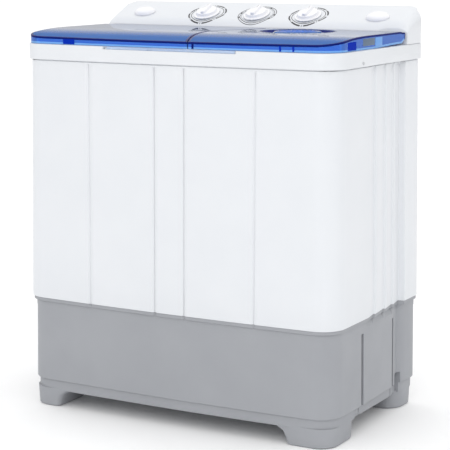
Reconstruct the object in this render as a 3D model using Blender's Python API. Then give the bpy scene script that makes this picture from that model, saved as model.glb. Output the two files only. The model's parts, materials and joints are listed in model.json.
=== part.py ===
"""Twin tub washing machine: a wash tub with a pulsator on the left, a spin basket on the right.

Metres, +Z up. The front faces -Y, and the origin is on the floor under the middle of the machine.
Each physical piece is one object; the moving ones have their origin on their joint's axis.
"""

import math

import bmesh
import bpy
from mathutils import Matrix, Vector

GAP = 0.0003  # clearance between pieces that touch

# Heights
FOOT_TOP = 0.0385
BASE_STEP = 0.0605
BASE_TOP = 0.2430
GROOVE_TOP = 0.7515
CABINET_TOP = 0.7567
DECK_BOTTOM = CABINET_TOP + GAP
DECK_TOP = 0.7895
DECK_PLATE = 0.0035
LID_BOTTOM = 0.7902
CONSOLE_TOP = 0.8660

# Plan sizes: half widths, front (middle of the bow) and rear
CABINET_FOOT = dict(half=0.3735, front=-0.2225, rear=0.2178)
CABINET_HEAD = dict(half=0.3655, front=-0.2185, rear=0.2178)
DECK = dict(half=0.3700, front=-0.2220, rear=0.2225)
BASE_RIM = dict(half=0.3715, front=-0.2205, rear=0.2178)
BASE_HEAD = dict(half=0.3670, front=-0.2160, rear=0.2150)
BASE_FOOT = dict(half=0.3690, front=-0.2170, rear=0.2150)
LID = dict(half=0.3665, front=-0.2190, rear=0.1180)
FRONT_RADIUS = 0.050
REAR_RADIUS = 0.018
BOW = 0.010
WALL = 0.0030

# Moulded lines on the cabinet: grooves on the front, sawtooth flutes on both sides (place, depth)
GROOVES = (-0.196, -0.035, 0.035, 0.196)
GROOVE_HALF, GROOVE_DEPTH = 0.0042, 0.0026
FLUTES = (
    (-0.050, 0.0), (-0.0125, 0.0062), (-0.0095, 0.0022), (0.0440, 0.0088), (0.0470, 0.0046),
    (0.0910, 0.0112), (0.0940, 0.0070), (0.1330, 0.0138), (0.1380, 0.0), (0.1460, 0.0), (0.1580, 0.0),
)
BASE_FLUTES = (
    (-0.050, 0.0), (-0.0125, 0.0008), (-0.0095, 0.0008), (0.0440, 0.0018), (0.0470, 0.0018),
    (0.0910, 0.0028), (0.0940, 0.0030), (0.1330, 0.0110), (0.1380, 0.0070), (0.1460, 0.0020), (0.1580, 0.0),
)
SLOTS = (("front", -0.0650), ("rear", 0.0980))  # upright slots in the tray's sides
SLOT_HALF, SLOT_TOP = 0.0055, 0.2120
VENT_RADIUS = 0.045
BAND_INSET = 0.0050  # the tray's lowest band and its feet stand inside the walls

# Wash side
WASH_X, WASH_Y = -0.155, -0.045
WASH_MOUTH = dict(half=0.180, depth=0.140, radius=0.055)
WASH_FLOOR = 0.3300
PULSATOR_RADIUS = 0.110
WASH_MOTOR_X, WASH_MOTOR_Y = -0.275, 0.085

# Spin side
SPIN_X, SPIN_Y = 0.195, -0.045
SPIN_MOUTH = 0.1400
SPIN_TUB_RADIUS = 0.1440
SPIN_FLOOR = 0.3500
BASKET_RADIUS = 0.1240
BASKET_TOP = 0.7600

# Lids and console
SEAM_X, SEAM_BULGE, SEAM_HALF = 0.053, 0.047, 0.0010
LID_FRONT_Z, LID_FLAT_Z, LID_REACH = 0.8035, 0.8172, 0.175
LID_SKIN = 0.0025
HINGE_Y, HINGE_Z = 0.1130, 0.8085
HINGE_RADIUS, PIN_RADIUS = 0.0033, 0.0015
INNER_PIN_Y, INNER_PIN_Z = 0.1000, DECK_TOP + 0.0040
INNER_PIN_RADIUS = 0.0011
EAR_X, EAR_REACH, EAR_BOTTOM = 0.3260, 0.0108, 0.8010
CONSOLE_FRONT, CONSOLE_FOOT, FOOT_RUN, CONSOLE_RECESS = 0.1227, 0.0082, 0.0200, 0.0105
CONSOLE_TILT = math.radians(24.0)
DIAL_Y, DIAL_Z, DIAL_PITCH = 0.1600, 0.8427, 0.1262
CAP_X = 0.290
STEM_RADIUS, STEM_HOLE = 0.0030, 0.0034
GRIP_HALF, GRIP_DEPTH = 0.156, 0.0062


# --- materials -------------------------------------------------------------------------------

def look(name, colour, roughness, metallic=0.0):
    material = bpy.data.materials.new(name)
    material.use_nodes = True
    shader = material.node_tree.nodes["Principled BSDF"]
    shader.inputs["Base Color"].default_value = (*colour, 1.0)
    shader.inputs["Roughness"].default_value = roughness
    shader.inputs["Metallic"].default_value = metallic
    return material


def make_looks():
    return {
        "white": look("white_shell", (0.86, 0.87, 0.89), 0.30),
        "grey": look("grey_base", (0.37, 0.39, 0.41), 0.45),
        "blue": look("blue_lid", (0.06, 0.16, 0.75), 0.12),
        "knob": look("white_control", (0.88, 0.88, 0.89), 0.25),
        "tub": look("tub_plastic", (0.78, 0.81, 0.84), 0.35),
        "steel": look("machined_steel", (0.55, 0.56, 0.58), 0.30, 1.0),
        "zinc": look("zinc_plated", (0.60, 0.61, 0.62), 0.40, 1.0),
        "motor": look("motor_steel", (0.30, 0.31, 0.33), 0.50, 0.8),
        "rubber": look("black_rubber", (0.03, 0.03, 0.03), 0.75),
        "dark": look("dark_plastic", (0.07, 0.07, 0.08), 0.50),
        "filter": look("filter_plastic", (0.25, 0.42, 0.80), 0.40),
    }


# --- mesh tools ------------------------------------------------------------------------------

def smooth_step(t):
    t = min(1.0, max(0.0, t))
    return t * t * (3.0 - 2.0 * t)


def add(name, mesh_source, material, pivot=(0.0, 0.0, 0.0), tilt=0.0, smooth_angle=32.0):
    """Makes an object of a bmesh drawn in world axes, with its origin at pivot, turned about X by tilt."""
    bmesh.ops.recalc_face_normals(mesh_source, faces=mesh_source.faces)
    place = Matrix.Translation(Vector(pivot)) @ Matrix.Rotation(tilt, 4, "X")
    if tilt == 0.0:
        bmesh.ops.translate(mesh_source, verts=mesh_source.verts, vec=-Vector(pivot))
    mesh = bpy.data.meshes.new(name)
    mesh_source.to_mesh(mesh)
    mesh_source.free()
    mesh.materials.append(material)
    mesh.shade_smooth()
    mesh.set_sharp_from_angle(angle=math.radians(smooth_angle))
    obj = bpy.data.objects.new(name, mesh)
    bpy.context.scene.collection.objects.link(obj)
    obj.location = place.to_translation()
    obj.rotation_euler = place.to_euler()
    return obj


def skin(source, rings, around):
    """Joins rings of points with faces; around joins the last ring to the first, else both ends are capped."""
    made = [[source.verts.new(point) for point in ring] for ring in rings]
    pairs = list(zip(made, made[1:])) + ([(made[-1], made[0])] if around else [])
    for low, high in pairs:
        for k in range(len(low)):
            after = (k + 1) % len(low)
            source.faces.new((low[k], low[after], high[after], high[k]))
    if not around:
        source.faces.new(list(reversed(made[0])))
        source.faces.new(made[-1])


def loft(name, rings, material, around=False, **placing):
    source = bmesh.new()
    skin(source, rings, around)
    return add(name, source, material, **placing)


def level(outline, z):
    return [(x, y, z) for x, y in outline]


def turned(name, profile, material, centre=(0.0, 0.0, 0.0), steps=40, around=False, axis="Z",
           **placing):
    """Turns (radius, height) points about an upright axis, or a sideways or lengthwise one, through centre."""
    source = bmesh.new()
    rings = []
    for radius, height in profile:
        ring = []
        for k in range(steps):
            turn = 2.0 * math.pi * k / steps
            a, b = radius * math.cos(turn), radius * math.sin(turn)
            offset = {"Z": (a, b, height), "X": (height, a, b), "Y": (b, height, a)}[axis]
            ring.append(tuple(c + o for c, o in zip(centre, offset)))
        rings.append(ring)
    skin(source, rings, around)
    return add(name, source, material, **placing)


def rod(name, radius, low, high, material, centre=(0.0, 0.0, 0.0), **more):
    return turned(name, [(radius, low), (radius, high)], material, centre, **more)


def box(name, low, high, material, round_edges=0.0, **placing):
    source = bmesh.new()
    bmesh.ops.create_cube(source, size=1.0)
    size = [b - a for a, b in zip(low, high)]
    middle = [(a + b) / 2 for a, b in zip(low, high)]
    bmesh.ops.scale(source, vec=size, verts=source.verts)
    bmesh.ops.translate(source, vec=middle, verts=source.verts)
    if round_edges:
        upright = [e for e in source.edges if abs(e.verts[0].co.z - e.verts[1].co.z) > 1e-6]
        bmesh.ops.bevel(source, geom=upright, offset=round_edges, segments=2, affect="EDGES", profile=0.5)
    return add(name, source, material, **placing)


def combine(target, other, operation):
    modifier = target.modifiers.new(operation.title(), "BOOLEAN")
    modifier.operation = operation
    modifier.object = other
    other.hide_render = True
    other.display_type = "WIRE"
    return target


def cut(target, other):
    return combine(target, other, "DIFFERENCE")


def join(target, other):
    return combine(target, other, "UNION")


# --- plan outlines ---------------------------------------------------------------------------

def arc(cx, cy, radius, start, end, steps):
    turns = [math.radians(start + (end - start) * k / steps) for k in range(steps + 1)]
    return [(cx + radius * math.cos(t), cy + radius * math.sin(t)) for t in turns]


def shell_outline(half, front, rear, inset=0.0, grooves=0.0, flutes=0.0, flute_table=FLUTES):
    """The machine's plan, anticlockwise from the front left: bowed front, round corners, fluted sides."""
    half, rear = half - inset, rear - inset
    corner_y = front + BOW + inset
    front_radius = FRONT_RADIUS - inset
    rear_radius = REAR_RADIUS - inset
    points = arc(-half + front_radius, corner_y + front_radius, front_radius, 180, 270, 6)
    run = half - front_radius
    marks = [(-run * 0.82, 0.0), (0.0, 0.0), (run * 0.82, 0.0)]
    for x in GROOVES:
        marks += [(x - GROOVE_HALF, 0.0), (x, 1.0), (x + GROOVE_HALF, 0.0)]
    points += [(x, corner_y + depth * grooves * GROOVE_DEPTH) for x, depth in sorted(marks)]
    points += arc(half - front_radius, corner_y + front_radius, front_radius, 270, 360, 6)
    points += [(half - depth * flutes, y) for y, depth in flute_table]
    points += arc(half - rear_radius, rear - rear_radius, rear_radius, 0, 90, 4)
    points += arc(-half + rear_radius, rear - rear_radius, rear_radius, 90, 180, 4)
    points += [(-half + depth * flutes, y) for y, depth in reversed(flute_table)]
    return [(x, y - BOW * (1 - (x / half) ** 2) * (y < 0)) if y < corner_y + front_radius + 1e-6 else (x, y)
            for x, y in points]


def round_rect(x0, x1, y0, y1, radius, steps=6):
    points = arc(x0 + radius, y0 + radius, radius, 180, 270, steps)
    points += arc(x1 - radius, y0 + radius, radius, 270, 360, steps)
    points += arc(x1 - radius, y1 - radius, radius, 0, 90, steps)
    points += arc(x0 + radius, y1 - radius, radius, 90, 180, steps)
    return points


def mouth_outline(grow=0.0):
    """The wash mouth in the deck; grow widens it."""
    half, depth = WASH_MOUTH["half"] + grow, WASH_MOUTH["depth"] + grow
    return round_rect(WASH_X - half, WASH_X + half, WASH_Y - depth, WASH_Y + depth,
                      WASH_MOUTH["radius"] + grow)


# --- base ------------------------------------------------------------------------------------

def make_base(looks):
    """The grey tray: four feet, a floor, walls with a step and a flange that carries the cabinet."""
    flutes = dict(flutes=1.0, flute_table=BASE_FLUTES)
    under_rim = dict(half=0.3675, front=-0.2165, rear=0.2155)
    rings = [
        level(shell_outline(**BASE_FOOT, inset=BAND_INSET + 0.0008, **flutes), FOOT_TOP),
        level(shell_outline(**BASE_FOOT, inset=BAND_INSET, **flutes), FOOT_TOP + 0.003),
        level(shell_outline(**BASE_FOOT, inset=BAND_INSET, **flutes), BASE_STEP - 0.0010),
        level(shell_outline(**BASE_FOOT, inset=0.0015, **flutes), BASE_STEP),
        level(shell_outline(**BASE_FOOT, **flutes), BASE_STEP + 0.0020),
        level(shell_outline(**BASE_HEAD, **flutes), BASE_TOP - 0.022),
        level(shell_outline(**under_rim, **flutes), BASE_TOP - 0.020),
        level(shell_outline(**under_rim, flutes=1.0), BASE_TOP - 0.0085),
        level(shell_outline(**BASE_RIM, grooves=1.0, flutes=1.0), BASE_TOP - 0.0070),
        level(shell_outline(**BASE_RIM, grooves=1.0, flutes=1.0), BASE_TOP),
    ]
    base = loft("base_tray", rings, looks["grey"])
    room = BASE_HEAD["half"] - 0.0155, BASE_HEAD["front"] + BOW + 0.0045, BASE_HEAD["rear"] - 0.0045
    hollow = [level(round_rect(-room[0], room[0], room[1], room[2], 0.034), z)
              for z in (FOOT_TOP + 0.0085, BASE_TOP + 0.010)]
    cut(base, loft("base_hollow_cutter", hollow, looks["grey"]))
    for side in (-1, 1):
        for name, y in SLOTS:
            low = (side * 0.369 - 0.012, y - SLOT_HALF, FOOT_TOP - 0.002)
            high = (side * 0.369 + 0.012, y + SLOT_HALF, SLOT_TOP)
            cut(base, box(f"base_slot_cutter_{name}_{side}", low, high, looks["grey"]))
        low = (side * 0.378 - 0.020, -0.0935, FOOT_TOP - 0.002)
        high = (side * 0.378 + 0.020, 0.1285, BASE_STEP)
        cut(base, box(f"base_side_cutter_{side}", low, high, looks["grey"]))
        low = (side * 0.366 - 0.014, 0.1160, FOOT_TOP - 0.002)
        high = (side * 0.366 + 0.014, 0.1420, 0.0840)
        cut(base, box(f"base_notch_cutter_{side}", low, high, looks["grey"]))
    for name, y0, y1 in (("front", -0.2010, -0.0950), ("rear", 0.1300, 0.2050)):
        for side in (-1, 1):
            join(base, make_foot(f"foot_solid_{name}_{side}", side, y0, y1, looks))
    for side, x in ((-1, WASH_MOTOR_X), (1, SPIN_X)):
        y = WASH_MOTOR_Y if side < 0 else SPIN_Y
        cut(base, rod(f"base_vent_cutter_{side}", VENT_RADIUS, FOOT_TOP - 0.008, FOOT_TOP + 0.012,
                      looks["grey"], (x, y, 0.0), steps=24))
    for x in (0.135, 0.150):
        low, high = (x, 0.195, 0.080), (x + 0.004, 0.225, 0.085)
        cut(base, box(f"base_rear_slit_cutter_{x:.3f}", low, high, looks["grey"]))
    cut(base, rod("base_drain_cutter", 0.0165, 0.190, 0.230, looks["grey"], (-0.300, 0.0, 0.110),
                  axis="Y", steps=24))
    cut(base, rod("base_gland_cutter", 0.0095, 0.190, 0.230, looks["grey"], (0.300, 0.0, 0.180),
                  axis="Y", steps=24))
    return base


def make_foot(name, side, y0, y1, looks):
    """A foot's solid: nearly upright outside with a round outer corner, and hollowed inwards up to the band."""
    rings = []
    root = 0.266 if side > 0 else 0.295
    for z, widen, spread in ((0.0, 0.0, 0.0), (0.003, 0.003, 0.003), (0.014, 0.005, 0.0035),
                             (0.028, 0.012, 0.0040), (FOOT_TOP + 0.003, 0.034, 0.0045)):
        inner = root - widen
        x_out, low_y, high_y = 0.3590 + spread, y0 - spread, y1 + spread
        outline = arc(inner + 0.010, low_y + 0.010, 0.010, 180, 270, 4)
        outline += arc(x_out - 0.040, low_y + 0.040, 0.040, 270, 360, 6)
        outline += arc(x_out - 0.016, high_y - 0.016, 0.016, 0, 90, 4)
        outline += arc(inner + 0.022, high_y - 0.022, 0.022, 90, 180, 4)
        rings.append(level([(side * x, y) for x, y in outline], z))
    return loft(name, rings, looks["grey"])


# --- cabinet, rear cover, deck ---------------------------------------------------------------

COVER = dict(half=0.250, low=0.290, high=0.640)
SCREW_HOLE = 0.0024


def make_cabinet(looks):
    """The white shell between the base and the deck, open at both ends, with a service opening behind."""
    marked = dict(grooves=1.0, flutes=1.0)
    plain = dict(grooves=0.0, flutes=1.0)
    share = (GROOVE_TOP - BASE_TOP) / (CABINET_TOP - BASE_TOP)
    under = {key: CABINET_FOOT[key] * (1 - share) + CABINET_HEAD[key] * share for key in CABINET_FOOT}
    rings = [
        level(shell_outline(**CABINET_FOOT, **marked), BASE_TOP + GAP),
        level(shell_outline(**under, **marked), GROOVE_TOP),
        level(shell_outline(**under, **plain), GROOVE_TOP + 0.0012),
        level(shell_outline(**CABINET_HEAD, **plain), CABINET_TOP),
        level(shell_outline(**CABINET_HEAD, inset=WALL, **plain), CABINET_TOP),
        level(shell_outline(**CABINET_FOOT, inset=WALL, **plain), BASE_TOP + GAP),
    ]
    cabinet = loft("cabinet", rings, looks["white"], around=True)
    half, low, high = COVER["half"], COVER["low"], COVER["high"]
    opening = box("service_opening_cutter", (-half + 0.015, 0.20, low + 0.015),
                  (half - 0.015, 0.24, high - 0.015), looks["white"])
    cut(cabinet, opening)
    for k, (x, z) in enumerate(cover_screws()):
        cut(cabinet, rod(f"cover_screw_cutter_{k}", SCREW_HOLE, 0.21, 0.22, looks["white"], (x, 0.0, z),
                         axis="Y", steps=12))
    return cabinet


def cover_screws():
    half, low, high = COVER["half"] - 0.0075, COVER["low"] + 0.0075, COVER["high"] - 0.0075
    return [(-half, low), (half, low), (-half, high), (half, high)]


def screw(name, head, shank, along, looks, point, axis, sign=1.0):
    """A pan-head screw: head and shank turned about its axis, with a slot across the head."""
    profile = [(head * 0.70, sign * 0.0018), (head, sign * 0.0010), (head, 0.0),
               (shank, 0.0), (shank, -sign * along)]
    piece = turned(name, profile, looks["zinc"], point, axis=axis, steps=10)
    spot = {"X": 0, "Y": 1, "Z": 2}[axis]
    low, high = [-0.0005] * 3, [0.0005] * 3
    across = (spot + 1) % 3
    low[across], high[across] = -head * 1.3, head * 1.3
    reach = sorted((sign * 0.0010, sign * 0.0030))
    low[spot], high[spot] = reach
    slot = box(f"{name}_slot_cutter", [p + v for p, v in zip(point, low)],
               [p + v for p, v in zip(point, high)], looks["zinc"])
    return cut(piece, slot)


def make_rear_cover(looks):
    """The service panel behind the tubs, with louvres, held by four screws."""
    half, low, high = COVER["half"], COVER["low"], COVER["high"]
    y0 = CABINET_HEAD["rear"] + GAP
    panel = box("rear_cover", (-half, y0, low), (half, y0 + 0.0022, high), looks["white"])
    for k in range(6):
        z = 0.330 + 0.014 * k
        cut(panel, box(f"louvre_cutter_{k}", (0.10, y0 - 0.01, z), (0.20, y0 + 0.01, z + 0.005),
                       looks["white"]))
    for k, (x, z) in enumerate(cover_screws()):
        hole = rod(f"cover_hole_cutter_{k}", SCREW_HOLE, 0.21, 0.23, looks["white"], (x, 0.0, z),
                   axis="Y", steps=12)
        cut(panel, hole)
        screw(f"rear_cover_screw_{k + 1}", 0.0045, 0.0018, 0.009, looks,
              (x, y0 + 0.0022 + GAP, z), "Y")


def make_deck(looks):
    """The white top: a band round the cabinet's head and a plate with the mouths of both tubs."""
    rings = [
        level(shell_outline(**DECK), DECK_BOTTOM),
        level(shell_outline(**DECK), DECK_TOP - 0.003),
        level(shell_outline(**DECK, inset=0.0009), DECK_TOP - 0.0009),
        level(shell_outline(**DECK, inset=0.003), DECK_TOP),
    ]
    deck = loft("top_deck", rings, looks["white"])
    inside = DECK["half"] - 0.0065, DECK["front"] + BOW + 0.0035, DECK["rear"] - 0.0065
    under = [level(round_rect(-inside[0], inside[0], inside[1], inside[2], 0.040), z)
             for z in (DECK_BOTTOM - 0.010, DECK_TOP - DECK_PLATE)]
    cut(deck, loft("deck_underside_cutter", under, looks["white"]))
    mouth = [level(mouth_outline(), DECK_TOP - 0.02), level(mouth_outline(), DECK_TOP + 0.01)]
    cut(deck, loft("wash_mouth_cutter", mouth, looks["white"]))
    cut(deck, rod("spin_mouth_cutter", SPIN_MOUTH, DECK_TOP - 0.02, DECK_TOP + 0.01, looks["white"],
                  (SPIN_X, SPIN_Y, 0.0), steps=32))
    cut(deck, box("finger_grip_cutter", (-GRIP_HALF, -0.240, DECK_TOP - GRIP_DEPTH),
                  (GRIP_HALF, -0.2120, DECK_TOP + 0.01), looks["white"]))
    for side in (-1, 1):
        screw_x = side * (DECK["half"] - 0.005)
        cut(deck, rod(f"deck_screw_cutter_{side}", 0.0022, screw_x - 0.010, screw_x + 0.010, looks["white"],
                      (0.0, -0.0870, 0.7640), axis="X", steps=12))
    for k, x in enumerate(hinge_places()):
        for side in (-1, 1):
            join(deck, hinge_ear(f"hinge_ear_solid_{k}_{side}", x + side * 0.0090, looks))
    for k, x in enumerate(hinge_places()):
        cut(deck, rod(f"hinge_bore_cutter_{k}", PIN_RADIUS + 0.0003, x - 0.013, x + 0.013, looks["white"],
                      (0.0, HINGE_Y, HINGE_Z), axis="X", steps=12))
    for side in (-1, 1):
        middle = SPIN_X + side * 0.024
        ear = box(f"inner_ear_solid_{side}", (middle - 0.002, INNER_PIN_Y - 0.004, DECK_TOP - 0.002),
                  (middle + 0.002, INNER_PIN_Y + 0.004, INNER_PIN_Z + 0.003), looks["white"])
        join(deck, ear)
    cut(deck, rod("inner_bore_cutter", INNER_PIN_RADIUS + GAP, SPIN_X - 0.030, SPIN_X + 0.030, looks["white"],
                  (0.0, INNER_PIN_Y, INNER_PIN_Z), axis="X", steps=12))
    return deck


def hinge_places():
    return (-0.300, -0.060, 0.110, 0.310)


def hinge_ear(name, x, looks):
    """An ear on the deck that holds one end of a hinge pin: round at the top, flat below."""
    outline = arc(HINGE_Y, HINGE_Z, HINGE_RADIUS, 0, 180, 8)
    outline += [(HINGE_Y - HINGE_RADIUS, DECK_TOP - 0.002), (HINGE_Y + HINGE_RADIUS, DECK_TOP - 0.002)]
    rings = [[(x + offset, y, z) for y, z in outline] for offset in (-0.002, 0.002)]
    return loft(name, rings, looks["white"])


# --- console and its fittings ----------------------------------------------------------------

def face_height(y):
    return DIAL_Z + (y - DIAL_Y) * math.tan(CONSOLE_TILT)


def dial_places():
    return (("wash_timer", -DIAL_PITCH), ("mode", 0.0), ("spin_timer", DIAL_PITCH))


def console_solid(name, inset, drop, looks):
    """The console's wedge: a profile run across, its ends rounded, set back behind the lid's ear at the right."""
    half = DECK["half"] - inset
    rear = DECK["rear"] - inset
    front = CONSOLE_FRONT + inset
    low = DECK_TOP + GAP - drop
    top = CONSOLE_TOP - inset
    slope = math.tan(CONSOLE_TILT)
    lift = inset / math.cos(CONSOLE_TILT)
    crest_y = DIAL_Y + (top - 0.0012 + lift - DIAL_Z) / slope
    radius = 0.028
    stations = [0.304, 0.311, 0.318, 0.325]
    stations += [half - radius + radius * math.sin(math.radians(a)) for a in (0, 16, 32, 48, 64, 80)]
    stations = [-x for x in reversed(stations)] + stations
    rings = []
    for x in stations:
        toe = front + CONSOLE_RECESS * smooth_step((x - 0.304) / 0.021)
        foot = [(toe + back, face_height(toe + back) - lift - CONSOLE_FOOT * (1 - back / FOOT_RUN) ** 2)
                for back in (0.0, 0.0020, 0.0055, 0.0105, FOOT_RUN)]
        profile = [(toe, low)] + foot + [
            (crest_y, top - 0.0012), (crest_y + 0.0020, top - 0.0003), (crest_y + 0.0045, top),
            (rear - 0.0025, top), (rear - 0.0008, top - 0.0008), (rear, top - 0.0030), (rear, low),
        ]
        beyond = max(0.0, abs(x) - (half - radius))
        fall = radius - math.sqrt(radius * radius - beyond * beyond)
        pull = (REAR_RADIUS - math.sqrt(REAR_RADIUS ** 2 - min(beyond, REAR_RADIUS) ** 2)) * 0.9
        flat, squat = 1 - pull / (rear - toe), 1 - fall / (top - low)
        rings.append([(x, toe + (y - toe) * flat, low + (z - low) * squat) for y, z in profile])
    return loft(name, rings, looks["white"])


def make_console(looks):
    console = console_solid("console_housing", 0.0, 0.0, looks)
    cut(console, console_solid("console_hollow_cutter", 0.0030, 0.010, looks))
    for name, x in dial_places():
        cut(console, rod(f"{name}_hole_cutter", 0.0085, -0.02, 0.02, looks["white"],
                         pivot=(x, DIAL_Y, DIAL_Z), tilt=CONSOLE_TILT, steps=24))
    for side in (-1, 1):
        cut(console, rod(f"inlet_hole_cutter_{side}", 0.0135, -0.02, 0.02, looks["white"],
                         pivot=(side * CAP_X, DIAL_Y, DIAL_Z), tilt=CONSOLE_TILT, steps=24))
    return console


def make_knob(name, x, looks):
    """A knob about its own upright axis: a low skirt, a body, and a bar grip with a bore below for the stem."""
    rise = 0.0010
    profile = [(0.0296, rise), (0.0296, rise + 0.0022), (0.0248, rise + 0.0036), (0.0232, rise + 0.0078),
               (0.0214, rise + 0.0090)]
    place = dict(pivot=(x, DIAL_Y, DIAL_Z), tilt=CONSOLE_TILT)
    knob = turned(name, profile, looks["knob"], steps=24, **place)
    rings = []
    for z, half, length in ((0.0055, 0.0070, 0.0211), (0.0135, 0.0050, 0.0206), (0.0148, 0.0036, 0.0192)):
        outline = round_rect(-half, half, -length, length, half * 0.95, steps=3)
        rings.append(level(outline, rise + z))
    join(knob, loft(f"{name}_grip_solid", rings, looks["knob"], **place))
    bore = rod(f"{name}_bore_cutter", STEM_HOLE, -0.010, rise + 0.0080, looks["knob"], steps=20, **place)
    return cut(knob, bore)


def make_controls(looks):
    for name, x in dial_places():
        make_knob(f"{name}_knob", x, looks)
        place = dict(pivot=(x, DIAL_Y, DIAL_Z), tilt=CONSOLE_TILT)
        turned(f"{name}_stem", [(STEM_RADIUS, -0.0150), (STEM_RADIUS, 0.0085)], looks["steel"],
                      steps=16, **place)
        body = box(f"{name}_switch", (-0.0170, -0.0150, -0.0240), (0.0170, 0.0150, -0.0038), looks["dark"],
                   round_edges=0.003, **place)
        cut(body, rod(f"{name}_switch_cutter", STEM_HOLE, -0.0155, 0.0, looks["dark"],
                      centre=(0.0, 0.0, 0.0), steps=20, **place))
    for side, name in ((-1, "left"), (1, "right")):
        make_inlet_cap(f"inlet_cap_{name}", side * CAP_X, looks)


def make_inlet_cap(name, x, looks):
    """A domed oval cap with a plug that sits in the console's water inlet hole."""
    place = dict(pivot=(x, DIAL_Y, DIAL_Z), tilt=CONSOLE_TILT)
    rings = []
    for z, share in ((GAP, 1.0), (0.0030, 0.98), (0.0062, 0.87), (0.0090, 0.66), (0.0106, 0.30)):
        ring = [(0.0265 * share * math.cos(t), 0.0195 * share * math.sin(t), z)
                for t in (2 * math.pi * k / 20 for k in range(20))]
        rings.append(ring)
    cap = loft(name, rings, looks["knob"], **place)
    join(cap, rod(f"{name}_plug_solid", 0.0128, -0.0070, 0.0030, looks["knob"], centre=(0.0, 0.0, 0.0),
                  steps=20, **place))
    return cap


# --- lids ------------------------------------------------------------------------------------

def lid_height(y):
    """Top of the lids: low at the front, rising in a round shoulder, a little lower at the rear edge."""
    t = min(1.0, max(0.0, (y - LID["front"]) / LID_REACH))
    rise = (LID_FLAT_Z - LID_FRONT_Z) * (1.0 - (1.0 - t) ** 2.4)
    tail = 0.0020 * smooth_step((y - (LID["rear"] - 0.010)) / 0.010)
    return LID_FRONT_Z + rise - tail


def ear_share(x):
    """1 at the outer end of the right lid, which runs on behind its hinge line in an ear; 0 elsewhere."""
    return smooth_step((x - EAR_X) / 0.012)


def seam_x(y):
    """The line between the lids: it bulges to the left, and runs straight past the hinge so that they clear."""
    t = (y - LID["front"]) / (LID["rear"] - LID["front"])
    if t < 0.5:
        return SEAM_X - SEAM_BULGE * math.sin(math.pi * max(0.0, t)) ** 0.8
    return SEAM_X - SEAM_BULGE * (1.0 - smooth_step((t - 0.5) / 0.42))


def side_x(t_corner):
    """Half width and depth behind the front line along the round front corner, t_corner from 0 to 1."""
    turn = math.radians(90.0 * t_corner)
    radius = FRONT_RADIUS - 0.0035
    return LID["half"] - radius + radius * math.sin(turn), radius - radius * math.cos(turn)


def lid_rows(inset):
    """Rows of the lid from front to rear: (side half width, depth behind the front line)."""
    rows = [side_x(t) for t in (0.0, 0.18, 0.36, 0.54, 0.72, 0.88, 1.0)]
    last = rows[-1][1]
    length = LID["rear"] - LID["front"] - BOW
    shares = (0.15, 0.30, 0.45, 0.60, 0.75, 0.88, 0.965, 1.0)
    rows += [(LID["half"], last + (length - last) * share) for share in shares]
    shrunk = []
    for k, (half, back) in enumerate(rows):
        share = inset / (FRONT_RADIUS - 0.0035)
        if k < 7:
            centre = LID["half"] - (FRONT_RADIUS - 0.0035)
            half, back = centre + (half - centre) * (1 - share), last + (back - last) * (1 - share)
        else:
            half, back = half - inset, back - (inset if k == len(rows) - 1 else 0.0)
        shrunk.append((half, back))
    return shrunk


def lid_grid(side, inset, drop):
    """A lid's surface points as rows, for the left (-1) or right (+1) lid: closer columns where the ear begins."""
    grid = []
    for half, back in lid_rows(inset):
        row = []
        y_row = LID["front"] + BOW + back
        inner = seam_x(y_row) + side * (SEAM_HALF + inset)
        outer = side * half
        past_ear = outer - side * 0.0405
        across = [outer - side * away for away in (0.0, 0.0150, 0.0285, 0.0345)]
        across += [past_ear + (inner - past_ear) * math.sin(math.pi * k / 10) for k in range(6)]
        for x in across:
            y = y_row - BOW * (1 - (x / LID["half"]) ** 2) * max(0.0, 1 - back / 0.2)
            y += EAR_REACH * ear_share(x) * smooth_step((y - (LID["rear"] - 0.050)) / 0.050)
            row.append((x, y, lid_height(y) - drop))
        grid.append(row)
    return grid


def rim_path(rows, columns):
    """Grid places round a lid: outer side from the rear to the front, front line, seam, rear edge."""
    path = [(r, 0) for r in range(rows - 1, 0, -1)]
    path += [(0, c) for c in range(columns)]
    path += [(r, columns) for r in range(rows - 1)]
    path += [(rows - 1, c) for c in range(columns, 0, -1)]
    return path


def lid_hem(r, c, rows, columns, point):
    """Height of the lid's lower edge: a deep skirt at the side, front and ear, a thin edge at seam and rear."""
    thin = point[2] - LID_SKIN - 0.0004
    if r == rows - 1:
        return thin + (EAR_BOTTOM - thin) * ear_share(point[0])
    if c == columns and r > 0:
        return thin
    return LID_BOTTOM + 0.0038 * smooth_step((r - rows + 6) / 5)


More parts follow.
